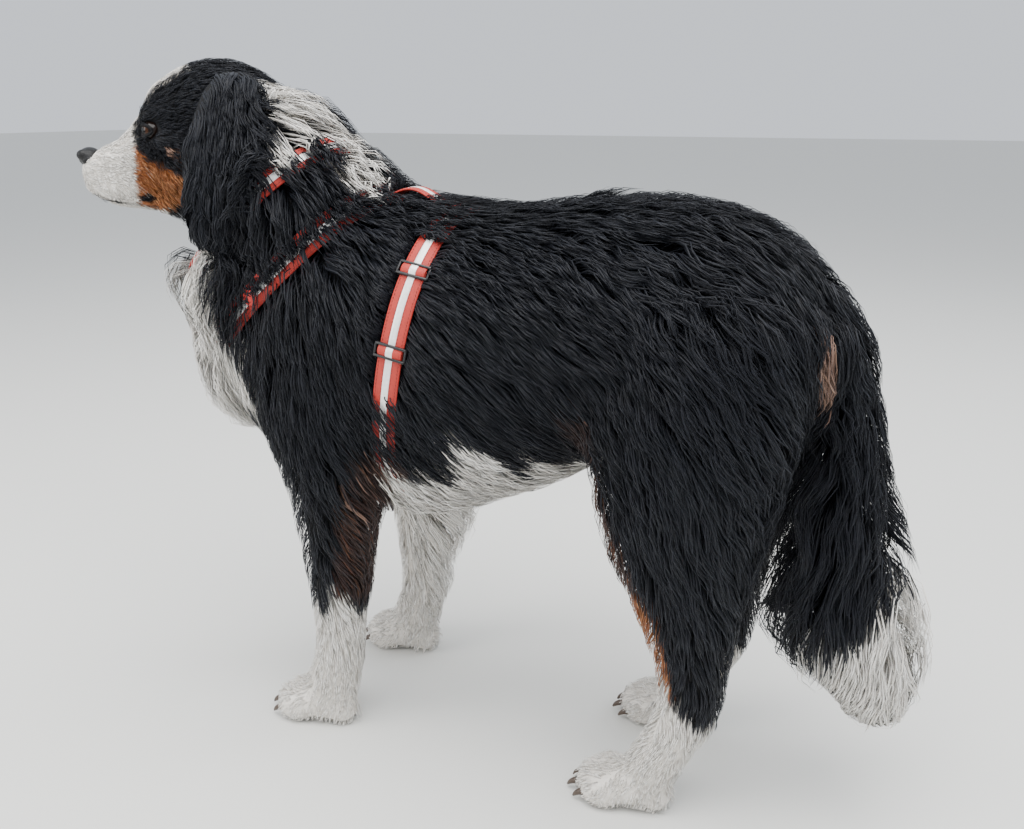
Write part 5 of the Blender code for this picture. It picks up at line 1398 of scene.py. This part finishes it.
class Strand:
    """Tufts that follow their guide locks from their own roots."""

    def __init__(self, path, ups, depths, roots, groom):
        self.path, self.ups, self.depths, self.groom = path, ups, depths, groom
        way = unit(path[:, 1] - path[:, 0])
        side = np.cross(ups[:, 0], way)
        offset = roots - path[:, 0]
        self.sideways = (offset * side).sum(1)
        self.ahead = (offset * way).sum(1)
        self.rise = (offset * ups[:, 0]).sum(1)

    def laid(self, reach):
        """Each tuft's places on the skin, its outward directions and the depth of coat there."""
        spots = self.groom.places * (reach * GUIDE_STEPS)[:, None]
        base = read_along(self.path, spots)
        out = unit(read_along(self.ups, spots).reshape(-1, 3)).reshape(base.shape)
        ways = np.gradient(base, axis=1)
        ways = unit(ways.reshape(-1, 3)).reshape(base.shape)
        side = np.cross(out, ways)
        beside = self.sideways[:, None] * self.groom.loose + self.groom.drift
        above = self.rise[:, None] * (1 - self.groom.places)
        places = base + side * beside[..., None] + ways * self.ahead[:, None, None] + out * above[..., None]
        return places, out, read_along(self.depths, spots)


def tuft_marks(places, on_ear, draw):
    """Shares of white and rust of each tuft, which takes one colour or the other where they meet."""
    white, rust, tan = markings(places)
    white, rust, tan = [np.where(on_ear, 0, share) for share in (white, rust, tan)]
    edge = draw.random(len(places))
    white = np.where(white > 0.35 + 0.3 * edge, 1.0, np.where(white > 0.15, white * 0.4, 0.0))
    rust = np.where(rust > 0.2 + 0.3 * edge, rust, rust * 0.3)
    tan = np.where(tan > 0.3 + 0.4 * edge, 1.0, 0.0)
    return with_tan(white, rust, tan)


# Straps


def band_path(points, loop, steps):
    """A strap's path as a smooth dense curve."""
    rows = [tuple(p) for p in points]
    if not loop:
        return [Vector(p) for p in smooth_rows(rows, steps)]
    wrapped = smooth_rows([rows[-1], *rows, rows[0], rows[1]], steps)
    return [Vector(p) for p in wrapped[steps : -steps - 1]]


def outward(path, loop, plane):
    """Directions along the path and outwards from it in its own plane."""
    middle = sum(path, Vector()) / len(path)
    last = len(path) - 1
    frames = []
    for k, place in enumerate(path):
        before = path[k - 1] if loop or k else path[0]
        after = path[(k + 1) % len(path)] if loop else path[min(k + 1, last)]
        along = (after - before).normalized()
        out = along.cross(plane).normalized()
        if out.dot(place - middle) < 0:
            out = -out
        frames.append((along, out))
    return frames


def strip(name, path, frames, profile, loop, arc):
    """A woven strip: its profile (across, up) carried along the path, with a map in millimetres."""
    rings = [[p + n.cross(w) * u + n * h for u, h in profile] for p, (w, n) in zip(path, frames)]
    count = len(profile)
    total = len(rings)
    points = [tuple(p) for ring in rings for p in ring]
    faces = []
    maps = []
    for i in range(total if loop else total - 1):
        j = (i + 1) % total
        start, end = arc[i], arc[i + 1]
        for k in range(count):
            n = (k + 1) % count
            faces.append((i * count + k, i * count + n, j * count + n, j * count + k))
            left, right = profile[k][0], profile[n][0]
            maps += [(left, start), (right, start), (right, end), (left, end)]
    if not loop:
        faces.append(tuple(range(count))[::-1])
        maps += [(profile[k][0], arc[0]) for k in range(count)][::-1]
        faces.append(tuple(range((total - 1) * count, total * count)))
        maps += [(profile[k][0], arc[-1]) for k in range(count)]
    mesh = bpy.data.meshes.new(name)
    mesh.from_pydata(points, [], faces)
    cloth = mesh.uv_layers.new(name="cloth")
    cloth.data.foreach_set("uv", [c * 1000 for pair in maps for c in pair])
    shape = bmesh.new()
    shape.from_mesh(mesh)
    if shape.calc_volume(signed=True) < 0:
        bmesh.ops.reverse_faces(shape, faces=shape.faces)
    shape.to_mesh(mesh)
    shape.free()
    return mesh


def arc_of(path, loop):
    """Run along the path at each of its points."""
    run = [0.0]
    pairs = zip(path, path[1:] + ([path[0]] if loop else []))
    for p, q in pairs:
        run.append(run[-1] + (q - p).length)
    return run if loop else run + [run[-1]]


def webbing_profile(width, thickness, lift=0.0):
    """A slight crown over a flat weave with round edges."""
    half, edge = width / 2, thickness / 2
    top = [(half - edge * 0.3, thickness * 0.72), (half - edge, thickness * 0.95),
           (half * 0.5, thickness * 1.02), (0.0, thickness * 1.04), (-half * 0.5, thickness * 1.02),
           (-half + edge, thickness * 0.95), (-half + edge * 0.3, thickness * 0.72)]
    low = [(-half, thickness * 0.45), (-half + edge * 0.4, thickness * 0.12), (-half + edge, 0.0),
           (0.0, 0.0), (half - edge, 0.0), (half - edge * 0.4, thickness * 0.12), (half, thickness * 0.45)]
    return [(u, h + lift) for u, h in top + low]


def stripe_profile(under):
    """The reflective stripe on webbing of the thickness under it."""
    return webbing_profile(STRIPE_WIDTH, STRIPE_THICKNESS, under * SEWN_IN)


def stitch_tree():
    """Stitches: short thread capsules set along a line at an even spacing."""
    tree = bpy.data.node_groups.new("stitch_row", "GeometryNodeTree")
    face = tree.interface
    face.new_socket("Line", in_out="INPUT", socket_type="NodeSocketGeometry")
    spacing = face.new_socket("Spacing", in_out="INPUT", socket_type="NodeSocketFloat")
    length = face.new_socket("Stitch Length", in_out="INPUT", socket_type="NodeSocketFloat")
    radius = face.new_socket("Thread Radius", in_out="INPUT", socket_type="NodeSocketFloat")
    thread = face.new_socket("Thread", in_out="INPUT", socket_type="NodeSocketMaterial")
    face.new_socket("Stitches", in_out="OUTPUT", socket_type="NodeSocketGeometry")
    given = tree.nodes.new("NodeGroupInput")
    curve = add(tree, "GeometryNodeMeshToCurve", {0: given.outputs[0]})
    points = add(tree, "GeometryNodeResampleCurve", {0: curve.outputs[0], "Length": given.outputs[1]},
                 mode="LENGTH")
    tangent = add(tree, "GeometryNodeInputTangent")
    turn = add(tree, "FunctionNodeAlignEulerToVector", {"Vector": tangent.outputs[0]}, axis="Z")
    ball_node = add(tree, "GeometryNodeMeshUVSphere", {"Segments": 6, "Rings": 4, "Radius": 1.0})
    size = add(tree, "ShaderNodeCombineXYZ", {"X": given.outputs[3], "Y": given.outputs[3]})
    half = add(tree, "ShaderNodeMath", {0: given.outputs[2], 1: 0.5}, operation="MULTIPLY")
    tree.links.new(half.outputs[0], size.inputs["Z"])
    set_points = add(tree, "GeometryNodeInstanceOnPoints", {
        "Points": points.outputs[0], "Instance": ball_node.outputs[0], "Rotation": turn.outputs[0],
        "Scale": size.outputs[0]})
    real = add(tree, "GeometryNodeRealizeInstances", {0: set_points.outputs[0]})
    finished = add(tree, "GeometryNodeSetMaterial", {
        "Geometry": real.outputs[0], "Material": given.outputs[4]})
    result = tree.nodes.new("NodeGroupOutput")
    tree.links.new(finished.outputs[0], result.inputs[0])
    return tree, {"spacing": spacing.identifier, "length": length.identifier, "radius": radius.identifier,
                  "thread": thread.identifier}


def stitches(name, rows, sizes, material, group):
    """Rows of thread along lines of points."""
    tree, sockets = group
    points = []
    edges = []
    for row in rows:
        first = len(points)
        points += [tuple(p) for p in row]
        edges += [(k, k + 1) for k in range(first, len(points) - 1)]
    mesh = bpy.data.meshes.new(name)
    mesh.from_pydata(points, edges, [])
    obj = link(name, mesh)
    modifier = obj.modifiers.new("stitch_row", "NODES")
    modifier.node_group = tree
    for key, value in zip(("spacing", "length", "radius"), sizes):
        modifier[sockets[key]] = value
    modifier[sockets["thread"]] = material
    applied(obj)
    return obj


def lathe(name, profile, place, out, count=28):
    """A turned piece on the line out through place: profile of (radius, height)."""
    turn = Vector((0, 0, 1)).rotation_difference(out).to_matrix()
    rings = []
    for radius, height in profile:
        rings.append([place + turn @ Vector((radius * math.cos(a), radius * math.sin(a), height))
                      for a in np.arange(count) * 2 * math.pi / count])
    return ring_mesh(name, rings)


def bar(start, end, out, wide, high, rounding=0.35):
    """A moulded bar with rounded edges between two points."""
    along = (end - start).normalized()
    across = out.cross(along).normalized()
    out = along.cross(across)
    profile = []
    for k in range(12):
        a = 2 * math.pi * k / 12
        c, s = [math.copysign(abs(part) ** rounding, part) for part in (math.cos(a), math.sin(a))]
        profile.append((c * wide / 2, s * high / 2))
    rings = []
    length = (end - start).length
    for share, shrink in ((0, 0.6), (0.0006 / length, 0.92), (0.0015 / length, 1), (1 - 0.0015 / length, 1),
                          (1 - 0.0006 / length, 0.92), (1, 0.6)):
        middle = start.lerp(end, share)
        rings.append([middle + across * u * shrink + out * h * shrink for u, h in profile])
    return ring_mesh("bar", rings)


def strap_cover(name, path):
    """The share of the coat that hides the strap at each place."""
    if name == "harness_back_strap":
        return [0.0 if p.x < -0.060 else 0.9 for p in path]
    return [next(share for height, share in COVER[name] if p.z > height) for p in path]


def strap_routes(core):
    """Each strap's points on the coat, whether they are a loop, the square to its plane, its width."""
    slope = Matrix.Rotation(-NECK_SLOPE, 3, "Y")
    neck_way = slope @ Vector((0, 0, 1))
    rear_up = slope @ Vector((1, 0, 0))
    girth_way = Vector(GIRTH_NORMAL).normalized()
    side_way = Vector((0, 1, 0))
    collar = loop_path(core, COLLAR_MIDDLE, neck_way, rear_up)
    neck_loop = loop_path(core, NECK_LOOP_MIDDLE, neck_way, rear_up)
    girth = loop_path(core, GIRTH_MIDDLE, girth_way, GIRTH_START)
    back = straight_path(core, *BACK_STRAP_ANGLES, STRAP_HUB, BACK_STRAP_POINTS)
    chest = straight_path(core, *CHEST_STRAP_ANGLES, STRAP_HUB, CHEST_STRAP_POINTS)
    return {
        "collar": (collar, True, neck_way, COLLAR_WIDTH),
        "harness_neck_loop": (neck_loop, True, neck_way, STRAP_WIDTH),
        "harness_girth": (girth, True, girth_way, STRAP_WIDTH),
        "harness_back_strap": (back, False, side_way, STRAP_WIDTH),
        "harness_chest_strap": (chest, False, side_way, STRAP_WIDTH),
    }


def strap_run(name, points, loop, plane):
    """A strap's dense path, and the directions along it and out of the coat."""
    path = band_path(points, loop, 5)
    frames = outward(path, loop, plane)
    if name == "harness_back_strap":
        frames = [(w, n if n.z > 0 else -n) for w, n in frames]
    if name == "harness_chest_strap":
        frames = [(w, n if n.dot(p - STRAP_HUB) > 0 else -n) for p, (w, n) in zip(path, frames)]
    path = [p - n * STRAP_SUNK for p, (_, n) in zip(path, frames)]
    if name == "harness_back_strap":
        # It stands off the coat between the two loops that it joins
        last = len(path) - 1
        path = [p + n * (BACK_STRAP_LIFT * math.sin(math.pi * min(1, k / last * 1.25)))
                for k, (p, (_, n)) in enumerate(zip(path, frames))]
    return path, frames


def build_strap(name, path, frames, loop, width, webbing, tape, thread, group):
    """A strap's webbing, its reflective stripe and four rows of stitches."""
    arc = arc_of(path, loop)
    band = strip(name, path, frames, webbing_profile(width, STRAP_THICKNESS), loop, arc)
    placed(link(name + "_webbing", band), webbing, "webbing", name)
    stripe = strip(name, path, frames, stripe_profile(STRAP_THICKNESS), loop, arc)
    placed(link(name + "_reflective_stripe", stripe), tape, "webbing")
    rows = []
    for across in (-width / 2 + SEAM_INSET, -STRIPE_SEAM, STRIPE_SEAM, width / 2 - SEAM_INSET):
        row = [p + n.cross(w) * across + n * STRAP_THICKNESS for p, (w, n) in zip(path, frames)]
        rows.append(row + [row[0]] if loop else row)
    placed(stitches(name + "_stitches", rows, STITCH, thread, group), thread, "webbing")


def spot(path, frames, angle):
    """The place on a loop that lies at an angle from the top, and its frame."""
    middle = sum(path, Vector()) / len(path)
    aim = Vector((0, -math.sin(angle), math.cos(angle)))
    k = max(range(len(path)), key=lambda i: (path[i] - middle).normalized().dot(aim))
    return path[k], *frames[k]


def build_slider(name, place, along, out, black, webbing, tape):
    """A slider's moulded frame and the webbing that turns over its bars."""
    across = along.cross(out)
    bars = []
    for run in (-0.0068, 0.0068):
        middle = place + along * run + out * 0.0030
        bars.append(bar(middle - across * 0.0195, middle + across * 0.0195, out, 0.0030, 0.0062))
    for far in (-0.0185, 0.0185):
        middle = place + across * far + out * 0.0026
        bars.append(bar(middle - along * 0.0078, middle + along * 0.0078, out, 0.0028, 0.0052))
    placed(link(name + "_frame", joined(bars)), black, "slider", name)
    rows = []
    for k in range(9):
        share = k / 8
        run = (share - 0.5) * 0.0112
        rows.append(place + along * run + out * (0.0018 + 0.0024 * math.sin(math.pi * share)))
    lies = [((rows[min(k + 1, 8)] - rows[max(k - 1, 0)]).normalized(), out) for k in range(9)]
    lies = [(w, (n - w * n.dot(w)).normalized()) for w, n in lies]
    arc = arc_of(rows, False)
    hump = strip(name, rows, lies, webbing_profile(STRAP_WIDTH, TURN_THICKNESS), False, arc)
    placed(link(name + "_webbing_turn", hump), webbing, "webbing")
    stripe = strip(name, rows, lies, stripe_profile(TURN_THICKNESS), False, arc)
    placed(link(name + "_webbing_turn_stripe", stripe), tape, "webbing")


def build_rivet(place, out, red):
    """The round fitting's turned cap on the neck loop."""
    dome = [(0.0001, 0.0), (0.0085, 0.0), (0.0094, 0.0006), (0.0095, 0.0018), (0.0086, 0.0028),
            (0.0066, 0.0033), (0.0060, 0.0027), (0.0052, 0.0027), (0.0046, 0.0036), (0.0026, 0.0042),
            (0.0001, 0.0044)]
    cap = link("harness_rivet_left_cap", lathe("cap", dome, place + out * 0.0032, out))
    placed(cap, red, "webbing", "harness_rivet_left")


def build_straps(core, tree, straps, webbing, tape, black, red, thread):
    """Collar, harness straps, reflective stripes, stitches, sliders and the round fitting."""
    group = stitch_tree()
    runs = {}
    for name, (points, loop, plane, width) in strap_routes(core).items():
        path, frames = strap_run(name, points, loop, plane)
        build_strap(name, path, frames, loop, width, webbing, tape, thread, group)
        shown, low = SHOWN.get(name, (width, 0.0))
        edges = [n.cross(w) for w, n in frames]
        edges = [e if e.z < 0 else -e for e in edges]
        straps.add(path, edges, tree, width, strap_cover(name, path), shown, low)
        runs[name] = (path, frames)
    straps.ready()
    for name, angle in SLIDERS.items():
        build_slider(name, *spot(*runs["harness_girth"], angle), black, webbing, tape)
    place, _, out = spot(*runs["harness_neck_loop"], RIVET_ANGLE)
    build_rivet(place, out, red)


# Nose, eyes, claws and whiskers


def build_nose(material):
    """The nose leather with its nostrils, the groove between them and a rounded rim."""

    def lump(place, radii, splay=0.0):
        turn = Matrix.Rotation(HEAD_TURN - splay, 4, "Z")
        return ball(head_point(*place), radii, turn=turn, rings=20, segments=32)

    pieces = [
        lump((0.1185, 0, 0.7155), (0.0135, 0.0185, 0.0122)),
        lump((0.1140, 0, 0.7080), (0.0100, 0.0095, 0.0160)),
    ]
    for side in SIDES.values():
        pieces.append(lump((0.1240, side * 0.0100, 0.7185), (0.0085, 0.0075, 0.0070)))
        pieces.append(lump((0.1170, side * 0.0150, 0.7120), (0.0090, 0.0048, 0.0065)))
    nose = blended("nose_leather", pieces, 0.0009, 0.0012, 3)
    nostrils = [lump((0.1330, side * 0.0078, 0.7168), (0.0085, 0.0034, 0.0040), side * NOSTRIL_SPLAY)
                for side in SIDES.values()]
    groove = lump((0.1330, 0, 0.7060), (0.0040, 0.0007, 0.0130))
    boolean(nose, [*nostrils, groove], "DIFFERENCE")
    placed(nose, material, "nose", "nose")


def build_eyes(material):
    for name, side in SIDES.items():
        look = eye_axes(side)[0]
        shape = bmesh.new()
        bmesh.ops.create_icosphere(shape, subdivisions=5, radius=EYE_RADIUS)
        for vert in shape.verts:
            facing = vert.co.normalized().dot(look)
            if facing > 0.80:
                vert.co *= 1 + 0.05 * math.sin((facing - 0.80) / 0.20 * math.pi / 2)
            vert.co += eye_middle(side)
        mesh = bpy.data.meshes.new("eye_" + name)
        shape.to_mesh(mesh)
        shape.free()
        ring = mesh.attributes.new("from_pupil", "FLOAT", "POINT")
        middle = eye_middle(side)
        ring.data.foreach_set("value", [math.acos(min(1, max(-1, (v.co - middle).normalized().dot(look))))
                                        for v in mesh.vertices])
        placed(link("eyeball_" + name, mesh), material, "eye", "eye_" + name)


def build_claws(material):
    for name, (foot_x, foot_y) in FEET.items():
        for toe, (across, ahead) in enumerate(TOES):
            y = foot_y + across * PAW_WIDTH[name.split("_")[0]]
            front = foot_x + ahead - 0.028
            rows = smooth_rows([
                (front + 0.0090, y, 0.0150, 0.0036, 0.0042),
                (front + 0.0030, y, 0.0136, 0.0034, 0.0038),
                (front - 0.0020, y, 0.0102, 0.0026, 0.0029),
                (front - 0.0055, y, 0.0060, 0.0010, 0.0012),
            ], 4)
            rings = []
            last = len(rows) - 1
            for k, row in enumerate(rows):
                along = Vector(rows[min(k + 1, last)][:3] - rows[max(k - 1, 0)][:3]).normalized()
                sideways = Vector((0, 1, 0))
                up = along.cross(sideways).normalized()
                rings.append([Vector(row[:3]) + sideways * row[3] * math.cos(t) + up * row[4] * math.sin(t)
                              for t in np.arange(12) * math.pi / 6])
            claw = link(f"claw_horn_{name}_{toe + 1}", ring_mesh("claw", rings))
            placed(claw, material, "claw", f"claw_{name}_{toe + 1}")


def build_whiskers(tree, material):
    """Thin stiff hairs that sweep back from the upper lip."""
    draw = np.random.default_rng(9)
    radii = [0.00018, 0.00017, 0.00014, 0.00011, 0.00008, 0.00004]
    meshes = []
    for side in SIDES.values():
        for row in range(4):
            for k in range(5):
                a = 0.104 - 0.011 * k + draw.normal(0, 0.0015)
                z = 0.700 - 0.0065 * row + draw.normal(0, 0.001)
                root, normal = tree.find_nearest(head_point(a, side * 0.06, z))[:2]
                way = (normal * 0.8 + HEAD_ACROSS * side * 0.5 - HEAD_AHEAD * (0.1 + 0.12 * k)
                       + Vector((0, 0, -0.25 - 0.1 * row))).normalized()
                length = draw.uniform(0.012, 0.022)
                points = []
                for share in np.linspace(0, 1, len(radii)):
                    points.append(root + way * length * share - HEAD_AHEAD * 0.006 * share**2
                                  - Vector((0, 0, 0.007)) * share**2)
                meshes.append(bead(points, [Vector((0, 0, 1))] * len(radii), radii, sides=5))
    placed(link("whiskers", joined(meshes)), material, "coat")


# Skin


def build_skin():
    """One closed skin: body, head with lids, lips and mouth line, and the hanging ears."""
    body = blended("skin_body", body_pieces(SKIN_SHARE), *BODY_BLEND, SKIN_BODY_TRIANGLES)
    head = blended("head", head_pieces(SKIN_SHARE), *HEAD_BLEND, SKIN_HEAD_TRIANGLES)
    tree = surface_of(head)
    lips = []
    grooves = []
    for side in SIDES.values():
        points, normals = along_mouth(tree, side, LIP_HEIGHT)
        lips.append(bead(points, normals, [LIP_RADIUS] * len(points)))
        points, normals = along_mouth(tree, side, 0.0)
        grooves.append(bead(points, normals, [GROOVE_RADIUS] * len(points)))
    boolean(head, [lid(side, upper) for side in SIDES.values() for upper in (True, False)], "UNION")
    boolean(head, lips, "UNION")
    boolean(head, grooves, "DIFFERENCE")
    boolean(head, [ball(eye_middle(side), (EYE_RADIUS,) * 3, grow=0.0002, rings=24, segments=32)
                   for side in SIDES.values()], "DIFFERENCE")
    ears = [ear_mesh(side, -0.0045) for side in SIDES.values()]
    ear_tree = surface_of(link("ears", joined([mesh.copy() for mesh in ears])))
    bpy.data.objects.remove(bpy.data.objects["ears"])
    boolean(head, ears, "UNION")
    boolean(body, [head.data.copy()], "UNION")
    bpy.data.objects.remove(head)
    body.name = "dog_skin"
    return body, ear_tree


def mark_skin(skin, outer, ears):
    """Gives the skin the markings of the coat over it. The ears are black."""
    points = np.empty(len(skin.data.vertices) * 3)
    skin.data.vertices.foreach_get("co", points)
    over = nearest(outer, points.reshape(-1, 3))[0]
    black = nearest(ears, points.reshape(-1, 3))[2] < ON_EAR
    white, rust, tan = [np.where(black, 0, share) for share in markings(over, 0.006)]
    draw = np.random.default_rng(2)
    white, rust = with_tan(white, rust, tan)
    colours = np.column_stack([white, rust, 0.3 * draw.random(len(over)), np.full(len(over), 0.1)])
    layer = skin.data.color_attributes.new("marking", "FLOAT_COLOR", "POINT")
    layer.data.foreach_set("color", colours.ravel())


def build_envelope():
    """The outline that the tips of the coat reach."""
    pieces = body_pieces(0.0, 20, 4) + head_pieces(0.0) + [ear_mesh(side, 0.003) for side in SIDES.values()]
    outer = blended("envelope", pieces, *ENVELOPE_BLEND)
    tree = surface_of(outer)
    bpy.data.objects.remove(outer)
    return tree


def build_core():
    """The surface that the straps lie on in the solids."""
    core = blended("core", body_pieces(CORE_SHARE, 20, 4), *BODY_BLEND, CORE_TRIANGLES)
    tree = surface_of(core)
    bpy.data.objects.remove(core)
    return tree


def light(name, place, aim, size, power, colour):
    lamp = bpy.data.lights.new(name, "AREA")
    lamp.shape = "SQUARE"
    lamp.size = size
    lamp.energy = power
    lamp.color = colour
    obj = bpy.data.objects.new(name, lamp)
    obj.location = place
    obj.rotation_euler = (Vector(aim) - Vector(place)).to_track_quat("-Z", "Y").to_euler()
    bpy.context.scene.collection.objects.link(obj)


def build_studio():
    """Pale floor, an overcast sky of light from above and the camera at the photograph's viewpoint."""
    shape = bmesh.new()
    bmesh.ops.create_grid(shape, x_segments=2, y_segments=2, size=25)
    mesh = bpy.data.meshes.new("floor")
    shape.to_mesh(mesh)
    shape.free()
    floor = link("floor", mesh)
    material, _, shader = material_named("pale_floor", Base_Color=linear("#dcdcd8"))
    shader.inputs["Roughness"].default_value = 0.85
    mesh.materials.append(material)
    world = bpy.data.worlds.new("studio")
    world.use_nodes = True
    world.node_tree.nodes["Background"].inputs[0].default_value = linear("#e9eef6")
    world.node_tree.nodes["Background"].inputs[1].default_value = 1.07
    bpy.context.scene.world = world
    light("soft_top", (0.3, -0.6, 3.0), (0, 0, 0.4), 3.0, 200, (1.0, 0.99, 0.97))
    light("soft_front", (-2.4, -2.2, 1.7), (-0.1, 0, 0.45), 1.8, 62, (1.0, 0.98, 0.95))
    light("soft_rear", (2.2, 1.8, 2.2), (0.1, 0, 0.5), 1.8, 34, (0.93, 0.96, 1.0))
    camera = bpy.data.cameras.new("photo_view")
    camera.lens = SENSOR_WIDTH * FOCAL_LENGTH / PICTURE_WIDTH
    camera.sensor_width = SENSOR_WIDTH
    obj = bpy.data.objects.new("photo_view", camera)
    obj.location = CAMERA_PLACE - CENTRE
    obj.rotation_euler = (CAMERA_TILT, 0, CAMERA_TURN)
    bpy.context.scene.collection.objects.link(obj)
    bpy.context.scene.camera = obj


def main():
    hair = hair_material()
    skin, ear_tree = build_skin()
    tree = surface_of(skin)
    outer = build_envelope()
    mark_skin(skin, outer, ear_tree)
    core = build_core()
    straps = Straps()
    thread = plastic_material("sewing_thread", "#5a1d18", "#7a2a22")
    build_straps(core, tree, straps, webbing_material(), reflective_material(),
                 plastic_material("black_acetal", "#0c0c0d", "#17171a"),
                 plastic_material("red_acetal", "#b52a22", "#cf3a30"), thread)
    eyes = [(eye_middle(side), EYE_RADIUS + EYE_CLEAR) for side in SIDES.values()]
    mouth = []
    for side in SIDES.values():
        mouth += [(head_point(a, side * b, z), MOUTH_CLEAR) for a, b, z in smooth_rows(MOUTH, 5)]
    nose = [(head_point(0.1185, 0, 0.7155), 0.0165), (head_point(0.1140, 0, 0.7030), 0.0110)]
    grow_coat(skin, tree, outer, ear_tree, straps, eyes + mouth + nose, hair)
    build_nose(nose_material())
    build_eyes(eye_material())
    build_claws(claw_material())
    build_whiskers(tree, whisker_material())
    placed(skin, skin_material(), "coat", *FLESH)
    build_studio()


main()
